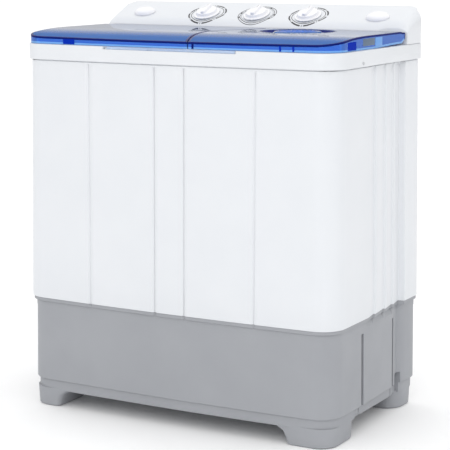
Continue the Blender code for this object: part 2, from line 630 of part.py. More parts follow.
def make_lid(name, side, looks):
    pivot = ((-0.180 if side < 0 else 0.210), HINGE_Y, HINGE_Z)
    outer = lid_grid(side, 0.0, 0.0)
    inner = lid_grid(side, 0.0028, LID_SKIN)
    rows, columns = len(outer), len(outer[0]) - 1
    source = bmesh.new()
    tops = [[source.verts.new(p) for p in row] for row in outer]
    unders = [[source.verts.new(p) for p in row] for row in inner]
    for r in range(rows - 1):
        for c in range(columns):
            source.faces.new((tops[r][c], tops[r][c + 1], tops[r + 1][c + 1], tops[r + 1][c]))
            source.faces.new((unders[r][c], unders[r + 1][c], unders[r + 1][c + 1], unders[r][c + 1]))
    path = rim_path(rows, columns)
    hems = []
    for r, c in path:
        x, y, z = outer[r][c]
        foot = lid_hem(r, c, rows, columns, outer[r][c])
        u, v, _ = inner[r][c]
        hems.append((source.verts.new((x, y, foot)), source.verts.new((u, v, foot))))
    for k in range(len(path)):
        after = (k + 1) % len(path)
        (r0, c0), (r1, c1) = path[k], path[after]
        source.faces.new((tops[r0][c0], tops[r1][c1], hems[after][0], hems[k][0]))
        source.faces.new((hems[k][0], hems[after][0], hems[after][1], hems[k][1]))
        source.faces.new((hems[k][1], hems[after][1], unders[r1][c1], unders[r0][c0]))
    lid = add(name, source, looks["blue"], pivot=pivot)
    for k, x in enumerate(hinge_places()):
        if (x < 0) != (side < 0):
            continue
        outline = arc(HINGE_Y, HINGE_Z, HINGE_RADIUS, 180, 360, 8)
        outline += [(HINGE_Y + HINGE_RADIUS, HINGE_Z + 0.0058), (HINGE_Y - HINGE_RADIUS, HINGE_Z + 0.0058)]
        rings = [[(x + offset, y, z) for y, z in outline] for offset in (-0.006, 0.006)]
        join(lid, loft(f"{name}_lug_solid_{k}", rings, looks["blue"], pivot=pivot))
        cut(lid, rod(f"{name}_lug_cutter_{k}", PIN_RADIUS + 0.0003, x - 0.010, x + 0.010, looks["blue"],
                     (0.0, HINGE_Y, HINGE_Z), axis="X", steps=12))
    return lid


def make_lids(looks):
    make_lid("wash_lid", -1, looks)
    make_lid("spin_lid", 1, looks)
    for k, x in enumerate(hinge_places()):
        rod(f"lid_hinge_pin_{k + 1}", PIN_RADIUS, x - 0.0125, x + 0.0125, looks["steel"],
            (0.0, HINGE_Y, HINGE_Z), axis="X", steps=12)
    make_inner_lid(looks)


def make_inner_lid(looks):
    """The safety cover in the spin tub's mouth, with a finger hole, on a pin behind the mouth."""
    pivot = (SPIN_X, INNER_PIN_Y, INNER_PIN_Z)
    centre = (SPIN_X, SPIN_Y, 0.0)
    low = DECK_TOP - DECK_PLATE + 0.0005
    lid = turned("spin_inner_lid", [(SPIN_MOUTH - 0.0015, low), (SPIN_MOUTH - 0.0015, low + 0.0026),
                                    (SPIN_MOUTH - 0.0045, low + 0.0034), (0.060, low + 0.0040)],
                 looks["tub"], centre, steps=32, pivot=pivot)
    cut(lid, rod("finger_hole_cutter", 0.014, low - 0.01, low + 0.02, looks["tub"],
                 (SPIN_X, SPIN_Y - 0.085, 0.0), steps=24, pivot=pivot))
    arm = box("inner_arm_solid", (SPIN_X - 0.0200, SPIN_Y + SPIN_MOUTH - 0.030, low + 0.0012),
              (SPIN_X + 0.0200, INNER_PIN_Y + 0.0026, INNER_PIN_Z + 0.0026), looks["tub"], pivot=pivot)
    join(lid, arm)
    clear = box("inner_arm_cutter", (SPIN_X - 0.0400, SPIN_Y + SPIN_MOUTH - 0.0022, low - 0.01),
                (SPIN_X + 0.0400, INNER_PIN_Y + 0.020, INNER_PIN_Z - 0.0026), looks["tub"], pivot=pivot)
    cut(lid, clear)
    cut(lid, rod("inner_lid_bore_cutter", INNER_PIN_RADIUS + GAP, SPIN_X - 0.024, SPIN_X + 0.024, looks["tub"],
                 (0.0, pivot[1], pivot[2]), axis="X", steps=12, pivot=pivot))
    rod("inner_lid_pin", INNER_PIN_RADIUS, SPIN_X - 0.0265, SPIN_X + 0.0265, looks["steel"],
        (0.0, pivot[1], pivot[2]), axis="X", steps=12)


# --- wash side -------------------------------------------------------------------------------

def make_wash_tub(looks):
    """The wash tub: a drawn-in shell with a flange under the deck and a round well for the pulsator."""
    top = DECK_TOP - DECK_PLATE - GAP
    rings = [
        level(mouth_outline(0.010), top), level(mouth_outline(0.010), top - 0.003),
        level(mouth_outline(0.0035), top - 0.003), level(mouth_outline(-0.012), WASH_FLOOR + 0.030),
        level(mouth_outline(-0.022), WASH_FLOOR + 0.008), level(mouth_outline(-0.040), WASH_FLOOR - 0.004),
    ]
    inner = [
        level(mouth_outline(-0.040), WASH_FLOOR), level(mouth_outline(-0.025), WASH_FLOOR + 0.010),
        level(mouth_outline(-0.0155), WASH_FLOOR + 0.031), level(mouth_outline(0.0004), top - 0.003),
        level(mouth_outline(0.0004), top),
    ]
    tub = loft("wash_tub", list(reversed(rings)) + list(reversed(inner)), looks["tub"])
    cut(tub, rod("wash_bore_cutter", 0.0084, WASH_FLOOR - 0.02, WASH_FLOOR + 0.02, looks["tub"],
                 (WASH_X, WASH_Y, 0.0), steps=24))
    cut(tub, rod("wash_drain_cutter", 0.013, WASH_FLOOR - 0.02, WASH_FLOOR + 0.02, looks["tub"],
                 (WASH_X + 0.115, WASH_Y + 0.070, 0.0), steps=20))
    return tub


def make_pulsator(looks):
    """The ribbed wash disc at the bottom of the tub."""
    low = WASH_FLOOR + 0.0045
    pivot = (WASH_X, WASH_Y, WASH_FLOOR)
    centre = (WASH_X, WASH_Y, 0.0)
    profile = [(PULSATOR_RADIUS - 0.008, low), (PULSATOR_RADIUS, low + 0.004), (PULSATOR_RADIUS, low + 0.009),
               (0.060, low + 0.010), (0.030, low + 0.018), (0.010, low + 0.022)]
    disc = turned("pulsator", profile, looks["tub"], centre, steps=28, pivot=pivot)
    for k in range(3):
        turn = Matrix.Rotation(math.radians(120.0 * k + 15.0), 4, "Z")
        rings = []
        for reach, height, half in ((0.006, 0.024, 0.008), (0.050, 0.022, 0.010), (0.100, 0.014, 0.006)):
            section = [(-half * 1.6, 0.006), (half * 1.6, 0.006), (half * 0.8, height * 0.85), (0.0, height),
                       (-half * 0.8, height * 0.85)]
            rings.append([tuple(turn @ Vector((reach, a, 0.0)) + Vector((WASH_X, WASH_Y, low + b)))
                          for a, b in section])
        join(disc, loft(f"pulsator_rib_solid_{k}", rings, looks["tub"], pivot=pivot))
    cut(disc, rod("pulsator_bore_cutter", 0.0063, low - 0.01, low + 0.016, looks["tub"], centre, steps=20,
                  pivot=pivot))
    return disc


GEARBOX_TOP = WASH_FLOOR - 0.0045
PULLEY_Z = 0.2300


def make_wash_drive(looks):
    """The wash drive: bearing box, shaft and pulley under the tub, belt, motor and its pulley."""
    centre = (WASH_X, WASH_Y, 0.0)
    body = [(0.0065, GEARBOX_TOP - 0.052), (0.034, GEARBOX_TOP - 0.052), (0.040, GEARBOX_TOP - 0.044),
            (0.040, GEARBOX_TOP - 0.012), (0.055, GEARBOX_TOP - 0.006), (0.055, GEARBOX_TOP),
            (0.0065, GEARBOX_TOP)]
    turned("wash_bearing_box", body, looks["motor"], centre, steps=18, around=True)
    turned("pulsator_shaft", [(0.0060, PULLEY_Z - 0.006), (0.0060, WASH_FLOOR + 0.0200)], looks["steel"],
           centre, steps=20, pivot=(WASH_X, WASH_Y, WASH_FLOOR))
    make_pulley("wash_pulley", WASH_X, WASH_Y, 0.062, 0.0063, looks["motor"])
    make_pulley("motor_pulley", WASH_MOTOR_X, WASH_MOTOR_Y, 0.020, 0.0053, looks["motor"])
    make_belt(looks)
    centre = (WASH_MOTOR_X, WASH_MOTOR_Y, 0.0)
    low = PULLEY_Z - 0.014
    motor = turned("wash_motor", [(0.050, 0.0850), (0.058, 0.0900), (0.058, low - 0.016), (0.050, low - 0.008),
                                  (0.016, low - 0.006), (0.016, low)], looks["motor"], centre, steps=18)
    for k in range(4):
        turn = math.radians(45 + 90 * k)
        x, y = WASH_MOTOR_X + 0.060 * math.cos(turn), WASH_MOTOR_Y + 0.060 * math.sin(turn)
        join(motor, rod(f"motor_lug_solid_{k}", 0.0090, 0.1300, 0.1380, looks["motor"], (x, y, 0.0), steps=8))
    cut(motor, rod("motor_bore_cutter", 0.0053, 0.180, 0.240, looks["motor"], centre, steps=20))
    rod("motor_shaft", 0.0050, 0.1803, PULLEY_Z + 0.010, looks["steel"], centre, steps=16)
    make_motor_stand("wash_motor_mount", WASH_MOTOR_X, WASH_MOTOR_Y, 0.0850, looks, 0.034)


def make_pulley(name, x, y, radius, bore, material):
    """A V-belt pulley with its bore, about an upright shaft."""
    z = PULLEY_Z
    profile = [(bore, z - 0.0075), (radius, z - 0.0075), (radius, z - 0.0050), (radius - 0.006, z - 0.0022),
               (radius - 0.006, z + 0.0022), (radius, z + 0.0050), (radius, z + 0.0075), (bore, z + 0.0075)]
    return turned(name, profile, material, (x, y, 0.0), steps=20, around=True, pivot=(x, y, z))


def make_belt(looks):
    """The belt's closed loop round both pulleys, clear of their grooves."""
    start, end = Vector((WASH_X, WASH_Y)), Vector((WASH_MOTOR_X, WASH_MOTOR_Y))
    span = (end - start).length
    heading = math.degrees(math.atan2(end.y - start.y, end.x - start.x))
    rings = []
    for grow, z in ((0.0004, PULLEY_Z - 0.0018), (0.0040, PULLEY_Z - 0.0030), (0.0040, PULLEY_Z + 0.0030),
                    (0.0004, PULLEY_Z + 0.0018)):
        big, small = 0.062 - 0.006 + grow, 0.020 - 0.006 + grow
        lean = math.degrees(math.acos((big - small) / span))
        outline = arc(start.x, start.y, big, heading + lean, heading + 360 - lean, 18)
        outline += arc(end.x, end.y, small, heading - lean, heading + lean, 6)
        rings.append(level(outline, z))
    return loft("drive_belt", rings, looks["rubber"], around=True)


def make_motor_stand(name, x, y, top, looks, reach):
    """Three rubber-and-spring mounts between the base's floor and a motor."""
    floor = FOOT_TOP + 0.0085 + GAP
    for k in range(3):
        turn = math.radians(90 + 120 * k)
        centre = (x + reach * math.cos(turn), y + reach * math.sin(turn), 0.0)
        height = top - GAP - floor
        profile = [(0.0085, floor), (0.0085, floor + height * 0.3), (0.0062, floor + height * 0.4),
                   (0.0062, floor + height * 0.6), (0.0085, floor + height * 0.7), (0.0085, top - GAP)]
        turned(f"{name}_{k + 1}", profile, looks["rubber"], centre, steps=8)


# --- spin side -------------------------------------------------------------------------------

def make_spin_side(looks):
    centre = (SPIN_X, SPIN_Y, 0.0)
    top = DECK_TOP - DECK_PLATE - GAP
    ledge = SPIN_MOUTH - 0.008
    tub = [
        (0.0235, SPIN_FLOOR - 0.004), (SPIN_TUB_RADIUS - 0.020, SPIN_FLOOR - 0.004),
        (SPIN_TUB_RADIUS - 0.006, SPIN_FLOOR + 0.004), (SPIN_TUB_RADIUS - 0.003, SPIN_FLOOR + 0.020),
        (SPIN_TUB_RADIUS, top - 0.003), (SPIN_TUB_RADIUS + 0.006, top - 0.003), (SPIN_TUB_RADIUS + 0.006, top),
        (ledge, top), (ledge, top - 0.0025), (SPIN_TUB_RADIUS - 0.003, top - 0.010),
        (SPIN_TUB_RADIUS - 0.006, SPIN_FLOOR + 0.021), (SPIN_TUB_RADIUS - 0.022, SPIN_FLOOR),
        (0.0235, SPIN_FLOOR),
    ]
    outer = turned("spin_tub", tub, looks["tub"], centre, steps=24, around=True)
    cut(outer, rod("spin_drain_cutter", 0.011, SPIN_FLOOR - 0.02, SPIN_FLOOR + 0.010, looks["tub"],
                   (SPIN_X - 0.020, SPIN_Y + 0.085, 0.0), steps=16))
    floor = SPIN_FLOOR + 0.028
    spin_pivot = (SPIN_X, SPIN_Y, SPIN_FLOOR)
    basket = [
        (0.0073, floor - 0.004), (BASKET_RADIUS - 0.012, floor - 0.004), (BASKET_RADIUS, floor + 0.008),
        (BASKET_RADIUS, BASKET_TOP - 0.006), (BASKET_RADIUS - 0.003, BASKET_TOP),
        (BASKET_RADIUS - 0.014, BASKET_TOP),
        (BASKET_RADIUS - 0.014, BASKET_TOP - 0.003), (BASKET_RADIUS - 0.0025, BASKET_TOP - 0.007),
        (BASKET_RADIUS - 0.0025, floor + 0.009), (BASKET_RADIUS - 0.013, floor), (0.028, floor + 0.004),
        (0.018, floor + 0.024), (0.0073, floor + 0.024),
    ]
    turned("spin_basket", basket, looks["tub"], centre, steps=32, around=True, pivot=spin_pivot)
    turned("spin_shaft", [(0.0070, 0.2120), (0.0070, floor + 0.0245)], looks["steel"], centre,
           steps=20, pivot=spin_pivot)
    seal = [(0.0074, SPIN_FLOOR - 0.012), (0.0180, SPIN_FLOOR - 0.016), (0.0232, SPIN_FLOOR - 0.010),
            (0.0232, SPIN_FLOOR + 0.002), (0.0150, SPIN_FLOOR + 0.006), (0.0110, SPIN_FLOOR + 0.014),
            (0.0074, SPIN_FLOOR + 0.014)]
    turned("shaft_seal", seal, looks["rubber"], centre, steps=16, around=True)
    drum = [(0.0073, 0.2420), (0.0400, 0.2420), (0.0420, 0.2440), (0.0420, 0.2660), (0.0400, 0.2680),
            (0.0380, 0.2680), (0.0380, 0.2480), (0.0180, 0.2480), (0.0160, 0.2760), (0.0073, 0.2760)]
    turned("brake_drum", drum, looks["motor"], centre, steps=20, around=True, pivot=spin_pivot)
    make_brake_lever(looks)
    motor = turned("spin_motor", [(0.054, 0.1000), (0.062, 0.1060), (0.062, 0.2080), (0.052, 0.2180),
                                  (0.020, 0.2200), (0.020, 0.2290)], looks["motor"], centre, steps=18)
    for k in range(3):
        turn = math.radians(30 + 120 * k)
        x, y = SPIN_X + 0.066 * math.cos(turn), SPIN_Y + 0.066 * math.sin(turn)
        join(motor, rod(f"spin_lug_solid_{k}", 0.0100, 0.1500, 0.1590, looks["motor"], (x, y, 0.0), steps=8))
    cut(motor, rod("spin_motor_bore_cutter", 0.0074, 0.2290 - 0.02, 0.240, looks["motor"], centre, steps=20))
    bracket = box("brake_bracket_solid", (SPIN_X + 0.030, SPIN_Y - 0.060, 0.1960),
                  (SPIN_X + 0.066, SPIN_Y - 0.030, 0.2060), looks["motor"])
    join(motor, bracket)
    make_motor_stand("spin_motor_mount", SPIN_X, SPIN_Y, 0.1000, looks, 0.040)


BRAKE_PIVOT = (SPIN_X + 0.0560, SPIN_Y - 0.0500, 0.2550)


def make_brake_lever(looks):
    """The brake lever: it swings about an upright post, its shoe to the drum when the spin lid opens."""
    x, y, z = BRAKE_PIVOT
    lever = box("brake_lever", (x - 0.0060, y - 0.0070, z - 0.0030), (x + 0.0060, y + 0.0950, z + 0.0030),
                looks["zinc"], pivot=BRAKE_PIVOT)
    shoe = box("brake_shoe_solid", (x - 0.0115, y + 0.0360, z - 0.0080), (x - 0.0050, y + 0.0640, z + 0.0080),
               looks["rubber"], pivot=BRAKE_PIVOT)
    join(lever, shoe)
    cut(lever, rod("brake_bore_cutter", 0.0034, z - 0.02, z + 0.02, looks["zinc"], (x, y, 0.0), steps=12,
                   pivot=BRAKE_PIVOT))
    rod("brake_post", 0.0030, 0.2063, z + 0.0120, looks["steel"], (x, y, 0.0), steps=12)


# --- filter, drain and electrics -------------------------------------------------------------

def make_water_parts(looks):
    wall_x = WASH_X - WASH_MOUTH["half"] + 0.0180
    box("lint_filter", (wall_x, WASH_Y - 0.040, 0.6450), (wall_x + 0.022, WASH_Y + 0.040, 0.7750),
        looks["filter"], pivot=(wall_x + 0.011, WASH_Y, 0.7100))
    wall_y = WASH_Y + WASH_MOUTH["depth"] - 0.0180
    box("overflow_cover", (WASH_X - 0.045, wall_y - 0.014, 0.3800), (WASH_X + 0.045, wall_y, 0.7400),
        looks["filter"])
    x, y = WASH_X + 0.115, WASH_Y + 0.070
    top = WASH_FLOOR - 0.0045
    cup = [(0.0160, top - 0.034), (0.0160, top), (0.0130, top), (0.0130, top - 0.030), (0.0062, top - 0.030),
           (0.0062, top - 0.034)]
    turned("drain_valve_body", cup, looks["dark"], (x, y, 0.0), steps=16, around=True)
    plug = [(0.0055, top - 0.0395), (0.0055, top - 0.0200), (0.0118, top - 0.0180), (0.0118, top - 0.0060),
            (0.0060, top - 0.0040)]
    turned("drain_valve_plunger", plug, looks["rubber"], (x, y, 0.0), steps=16, pivot=(x, y, top - 0.020))
    outlet = [(0.0120, 0.1650), (0.0160, 0.1650), (0.0160, 0.2212), (0.0120, 0.2212)]
    turned("drain_outlet", outlet, looks["dark"], (-0.300, 0.0, 0.110), axis="Y", steps=16, around=True)
    gland = [(0.0042, 0.1960), (0.0092, 0.1960), (0.0092, 0.2153), (0.0120, 0.2156), (0.0110, 0.2206),
             (0.0042, 0.2212)]
    turned("cord_gland", gland, looks["rubber"], (0.300, 0.0, 0.180), axis="Y", steps=16, around=True)
    rod("motor_capacitor", 0.0180, 0.0473, 0.1100, looks["dark"], (0.300, 0.120, 0.0), steps=24)


def make_deck_screws(looks):
    for side, name in ((-1, "left"), (1, "right")):
        screw(f"deck_screw_{name}", 0.0034, 0.0018, 0.0090, looks,
              (side * (DECK["half"] + GAP), -0.0870, 0.7640), "X", sign=side)


def main():
    for obj in list(bpy.data.objects):
        bpy.data.objects.remove(obj)
    looks = make_looks()
    make_base(looks)
    make_cabinet(looks)
    make_rear_cover(looks)
    make_deck(looks)
    make_deck_screws(looks)
    make_console(looks)
    make_controls(looks)
    make_lids(looks)
    make_wash_tub(looks)
    make_pulsator(looks)
    make_wash_drive(looks)
    make_spin_side(looks)
    make_water_parts(looks)


main()
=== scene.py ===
"""The looks of the twin tub washer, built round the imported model. Metres, +Z up, the front faces -Y."""

import json
import math

import bmesh
import bpy
from mathutils import Matrix, Vector


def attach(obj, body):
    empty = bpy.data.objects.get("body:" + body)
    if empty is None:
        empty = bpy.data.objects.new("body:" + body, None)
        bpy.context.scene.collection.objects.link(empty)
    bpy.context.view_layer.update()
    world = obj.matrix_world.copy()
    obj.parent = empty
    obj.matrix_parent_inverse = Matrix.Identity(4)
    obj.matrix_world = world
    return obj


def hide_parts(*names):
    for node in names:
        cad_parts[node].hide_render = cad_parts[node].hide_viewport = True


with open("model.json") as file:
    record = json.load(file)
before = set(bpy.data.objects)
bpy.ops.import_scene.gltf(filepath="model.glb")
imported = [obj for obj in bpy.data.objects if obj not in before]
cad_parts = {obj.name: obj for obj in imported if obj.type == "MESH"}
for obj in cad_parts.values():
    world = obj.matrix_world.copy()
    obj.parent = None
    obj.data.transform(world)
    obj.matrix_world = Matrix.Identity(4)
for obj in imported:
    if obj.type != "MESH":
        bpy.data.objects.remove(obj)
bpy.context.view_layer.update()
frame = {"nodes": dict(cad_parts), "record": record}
NODES = frame["nodes"]

# --- sizes shared with the CAD model ----------------------------------------------------------

GAP = 0.0003
BASE_TOP, GROOVE_TOP, CABINET_TOP = 0.2430, 0.7515, 0.7567
DECK_TOP, LID_BOTTOM, CONSOLE_TOP = 0.7895, 0.7902, 0.8660
CABINET_FOOT = dict(half=0.3735, front=-0.2225, rear=0.2178)
CABINET_HEAD = dict(half=0.3655, front=-0.2185, rear=0.2178)
DECK = dict(half=0.3700, front=-0.2220, rear=0.2225)
LID = dict(half=0.3665, front=-0.2190, rear=0.1180)
FRONT_RADIUS, REAR_RADIUS, BOW, WALL = 0.050, 0.018, 0.010, 0.0030
GROOVES = (-0.196, -0.035, 0.035, 0.196)
GROOVE_HALF, GROOVE_DEPTH = 0.0045, 0.0030
FLUTES = (
    (-0.050, 0.0), (-0.0125, 0.0062), (-0.0095, 0.0022), (0.0440, 0.0088), (0.0470, 0.0046),
    (0.0910, 0.0112), (0.0940, 0.0070), (0.1330, 0.0138), (0.1380, 0.0), (0.1460, 0.0), (0.1580, 0.0),
)
COVER = dict(half=0.250, low=0.290, high=0.640)
SEAM_X, SEAM_BULGE, SEAM_HALF = 0.053, 0.047, 0.0010
LID_FRONT_Z, LID_FLAT_Z, LID_REACH, LID_SKIN = 0.8035, 0.8172, 0.175, 0.0025
EAR_X, EAR_REACH, EAR_BOTTOM = 0.3260, 0.0108, 0.8010
GRIP_HALF, GRIP_DEPTH = 0.150, 0.0062
HINGE_Y, HINGE_Z, HINGE_RADIUS, HINGE_HALF = 0.1130, 0.8085, 0.0033, 0.006
HINGES = (-0.300, -0.060, 0.110, 0.310)
CONSOLE_FRONT, CONSOLE_FOOT, FOOT_RUN = 0.1227, 0.0082, 0.0200
CONSOLE_RECESS, CONSOLE_TILT = 0.0105, math.radians(24.0)
DIAL_Y, DIAL_Z, DIAL_PITCH, CAP_X = 0.1600, 0.8427, 0.1262, 0.290
DIALS = (("wash_timer", -DIAL_PITCH), ("mode", 0.0), ("spin_timer", DIAL_PITCH))


# --- materials -------------------------------------------------------------------------------

def surface(name, colour, roughness, metallic=0.0, **more):
    material = bpy.data.materials.new(name)
    material.use_nodes = True
    shader = material.node_tree.nodes["Principled BSDF"]
    shader.inputs["Base Color"].default_value = (*colour, 1.0)
    shader.inputs["Roughness"].default_value = roughness
    shader.inputs["Metallic"].default_value = metallic
    for socket, value in more.items():
        shader.inputs[socket.replace("_", " ")].default_value = value
    return material


def noise(material, scale, detail=3.0, stretch=(1.0, 1.0, 1.0)):
    tree = material.node_tree
    place = tree.nodes.new("ShaderNodeTexCoord")
    mapping = tree.nodes.new("ShaderNodeMapping")
    mapping.inputs["Scale"].default_value = stretch
    texture = tree.nodes.new("ShaderNodeTexNoise")
    texture.inputs["Scale"].default_value = scale
    texture.inputs["Detail"].default_value = detail
    tree.links.new(place.outputs["Object"], mapping.inputs["Vector"])
    tree.links.new(mapping.outputs["Vector"], texture.inputs["Vector"])
    return texture.outputs["Fac"]


def spread(material, fac, low, high):
    node = material.node_tree.nodes.new("ShaderNodeMapRange")
    node.inputs["From Min"].default_value = 0.3
    node.inputs["From Max"].default_value = 0.7
    node.inputs["To Min"].default_value = low
    node.inputs["To Max"].default_value = high
    material.node_tree.links.new(fac, node.inputs["Value"])
    return node.outputs["Result"]


def blend(material, fac, colour, other):
    mix = material.node_tree.nodes.new("ShaderNodeMix")
    mix.data_type = "RGBA"
    mix.inputs["A"].default_value = (*colour, 1.0)
    mix.inputs["B"].default_value = (*other, 1.0)
    material.node_tree.links.new(fac, mix.inputs["Factor"])
    return mix.outputs["Result"]


def soft_edges(material, radius):
    """Rounds the look of hard edges: a bevelled normal."""
    bevel = material.node_tree.nodes.new("ShaderNodeBevel")
    bevel.samples = 6
    bevel.inputs["Radius"].default_value = radius
    return bevel.outputs["Normal"]


def plastic(name, colour, other, gloss, grain_scale, grain_height, edge=0.0006, stretch=(1.0, 1.0, 1.0), **more):
    """A moulded or metal finish: slightly uneven colour and gloss, a fine grain, and softened edges."""
    material = surface(name, colour, gloss[0], **more)
    tree = material.node_tree
    shader = tree.nodes["Principled BSDF"]
    patch = spread(material, noise(material, 9.0, stretch=stretch), 0.0, 1.0)
    tree.links.new(blend(material, patch, colour, other), shader.inputs["Base Color"])
    tree.links.new(spread(material, noise(material, 16.0, stretch=stretch), *gloss), shader.inputs["Roughness"])
    bump = tree.nodes.new("ShaderNodeBump")
    bump.inputs["Distance"].default_value = grain_height
    tree.links.new(noise(material, grain_scale, stretch=stretch), bump.inputs["Height"])
    if edge:
        tree.links.new(soft_edges(material, edge), bump.inputs["Normal"])
    tree.links.new(bump.outputs["Normal"], shader.inputs["Normal"])
    return material


def clear_blue(name, tint, body, cover, ior, gloss_range=(0.0, 1.0, 0.0, 1.0)):
    """Clear blue plastic: it tints what shows through, with some blue of its own and a clean gloss."""
    material = surface(name, body, 0.10)
    tree = material.node_tree
    shader = tree.nodes["Principled BSDF"]
    shader.inputs["Specular IOR Level"].default_value = 0.0
    cloud = spread(material, noise(material, 12.0), 0.92, 1.0)
    tree.links.new(blend(material, cloud, tuple(0.8 * c for c in body), body), shader.inputs["Base Color"])
    clear = tree.nodes.new("ShaderNodeBsdfTransparent")
    clear.inputs["Color"].default_value = (*tint, 1.0)
    gloss = tree.nodes.new("ShaderNodeBsdfGlossy")
    tree.links.new(spread(material, noise(material, 20.0), 0.03, 0.07), gloss.inputs["Roughness"])
    ripple = tree.nodes.new("ShaderNodeBump")
    ripple.inputs["Distance"].default_value = 6e-5
    tree.links.new(noise(material, 60.0, 1.0), ripple.inputs["Height"])
    tree.links.new(ripple.outputs["Normal"], gloss.inputs["Normal"])
    see = tree.nodes.new("ShaderNodeMixShader")
    see.inputs["Fac"].default_value = cover
    tree.links.new(clear.outputs["BSDF"], see.inputs[1])
    tree.links.new(shader.outputs["BSDF"], see.inputs[2])
    sheen = tree.nodes.new("ShaderNodeFresnel")
    sheen.inputs["IOR"].default_value = ior
    ramp = tree.nodes.new("ShaderNodeMapRange")
    ramp.interpolation_type = "SMOOTHSTEP" if gloss_range[0] else "LINEAR"
    for socket, value in zip(("From Min", "From Max", "To Min", "To Max"), gloss_range):
        ramp.inputs[socket].default_value = value
    tree.links.new(sheen.outputs["Fac"], ramp.inputs["Value"])
    coat = tree.nodes.new("ShaderNodeMixShader")
    tree.links.new(ramp.outputs["Result"], coat.inputs["Fac"])
    tree.links.new(see.outputs["Shader"], coat.inputs[1])
    tree.links.new(gloss.outputs["BSDF"], coat.inputs[2])
    tree.links.new(coat.outputs["Shader"], tree.nodes["Material Output"].inputs["Surface"])
    return material


def make_materials():
    steel, zinc = (0.55, 0.56, 0.58), (0.56, 0.58, 0.61)
    return {
        "white_shell": plastic("white_shell_look", (0.712, 0.732, 0.762), (0.732, 0.750, 0.778), (0.30, 0.40), 1400.0,
                               2e-5),
        "grey_base": plastic("grey_base_look", (0.318, 0.328, 0.352), (0.338, 0.348, 0.372), (0.48, 0.60), 1800.0,
                             6e-5, edge=0.0012),
        "blue_lid": clear_blue("blue_lid_look", (0.12, 0.34, 0.86), (0.024, 0.205, 0.69), 0.50, 1.45,
                               (0.36, 0.66, 0.11, 0.85)),
        # blue_edge, blue_skirt and blue_light are shaded and lit copies of the one clear blue plastic: painted shade on
        # the lid rims and in the spin lid's dish, painted light through the skirts and the dish's button, and a painted
        # glow along the skirts' lower edge
        "blue_edge": clear_blue("blue_edge_look", (0.03, 0.06, 0.45), (0.003, 0.012, 0.15), 0.90, 1.16),
        "blue_skirt": clear_blue("blue_skirt_look", (0.25, 0.52, 0.98), (0.06, 0.24, 0.95), 0.50, 1.33),
        "blue_light": clear_blue("blue_light_look", (0.45, 0.72, 1.0), (0.22, 0.50, 1.0), 0.70, 1.33),
        "white_control": plastic("white_control_look", (0.85, 0.85, 0.87), (0.88, 0.88, 0.90), (0.20, 0.28), 900.0,
                                 1e-5),
        "tub_plastic": plastic("tub_look", (0.70, 0.74, 0.78), (0.75, 0.78, 0.81), (0.32, 0.42), 900.0, 2e-5),
        "machined_steel": plastic("steel_look", steel, (0.63, 0.64, 0.66), (0.25, 0.40), 1500.0, 1e-5, metallic=1.0,
                                  stretch=(1.0, 1.0, 0.1)),
        "zinc_plated": plastic("zinc_look", zinc, (0.67, 0.68, 0.70), (0.35, 0.50), 700.0, 1e-5, metallic=1.0),
        "motor_steel": plastic("motor_look", (0.14, 0.15, 0.17), (0.20, 0.21, 0.23), (0.40, 0.55), 800.0, 3e-5,
                               metallic=0.3),
        "black_rubber": plastic("rubber_look", (0.018, 0.018, 0.020), (0.035, 0.035, 0.036), (0.65, 0.85), 1200.0,
                                4e-5),
        "dark_plastic": plastic("dark_look", (0.045, 0.045, 0.050), (0.070, 0.070, 0.075), (0.42, 0.55), 1100.0, 3e-5),
        "filter_plastic": plastic("filter_look", (0.16, 0.32, 0.72), (0.20, 0.38, 0.80), (0.35, 0.48), 900.0, 2e-5),
        "print_dark": plastic("print_dark_look", (0.03, 0.03, 0.035), (0.05, 0.05, 0.055), (0.50, 0.60), 700.0, 5e-6,
                              edge=0.0),
        "print_grey": plastic("print_grey_look", (0.24, 0.25, 0.28), (0.29, 0.30, 0.33), (0.45, 0.55), 700.0, 5e-6,
                              edge=0.0),
        # painted light: the blue light that falls through the lids onto the finger recess
        "pale_blue": plastic("pale_blue_look", (0.66, 0.76, 0.90), (0.69, 0.79, 0.92), (0.25, 0.35), 900.0, 1e-5),
        "blue_dark": plastic("blue_dark_look", (0.0, 0.020, 0.36), (0.0, 0.026, 0.40), (0.55, 0.65), 900.0, 1e-5,
                             Specular_IOR_Level=0.05),
        "olive_part": plastic("olive_part_look", (0.075, 0.12, 0.20), (0.09, 0.14, 0.21), (0.35, 0.45), 700.0, 2e-5),
    }


# --- meshes ----------------------------------------------------------------------------------

def piece(name, source, look, body="machine", replaces=(), place=None, smooth_angle=34.0):
    """Makes a shown piece of a bmesh, drawn in world axes or about place, that moves with a body."""
    bmesh.ops.recalc_face_normals(source, faces=source.faces)
    mesh = bpy.data.meshes.new(name)
    source.to_mesh(mesh)
    source.free()
    for entry in (look if isinstance(look, (list, tuple)) else [look]):
        mesh.materials.append(LOOKS[entry])
    mesh.shade_smooth()
    mesh.set_sharp_from_angle(angle=math.radians(smooth_angle))
    obj = bpy.data.objects.new(name, mesh)
    bpy.context.scene.collection.objects.link(obj)
    if place is not None:
        obj.matrix_world = place
    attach(obj, body)
    if replaces:
        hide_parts(*replaces)
    return obj


def on_console(x, lift=0.0):
    """The place of something on the console's sloping face: its Z axis stands out of the face."""
    return Matrix.Translation((x, DIAL_Y, DIAL_Z)) @ Matrix.Rotation(CONSOLE_TILT, 4, "X") @ Matrix.Translation(
        (0.0, 0.0, lift))


def skin(source, rings, around=False, material=0):
    """Faces between rings of points: open rings get end caps, and around joins the last ring to the first."""
    made = [[source.verts.new(point) for point in ring] for ring in rings]
    pairs = list(zip(made, made[1:])) + ([(made[-1], made[0])] if around else [])
    for low, high in pairs:
        for k in range(len(low)):
            after = (k + 1) % len(low)
            source.faces.new((low[k], low[after], high[after], high[k])).material_index = material
    if not around:
        source.faces.new(made[0][::-1]).material_index = material
        source.faces.new(made[-1]).material_index = material


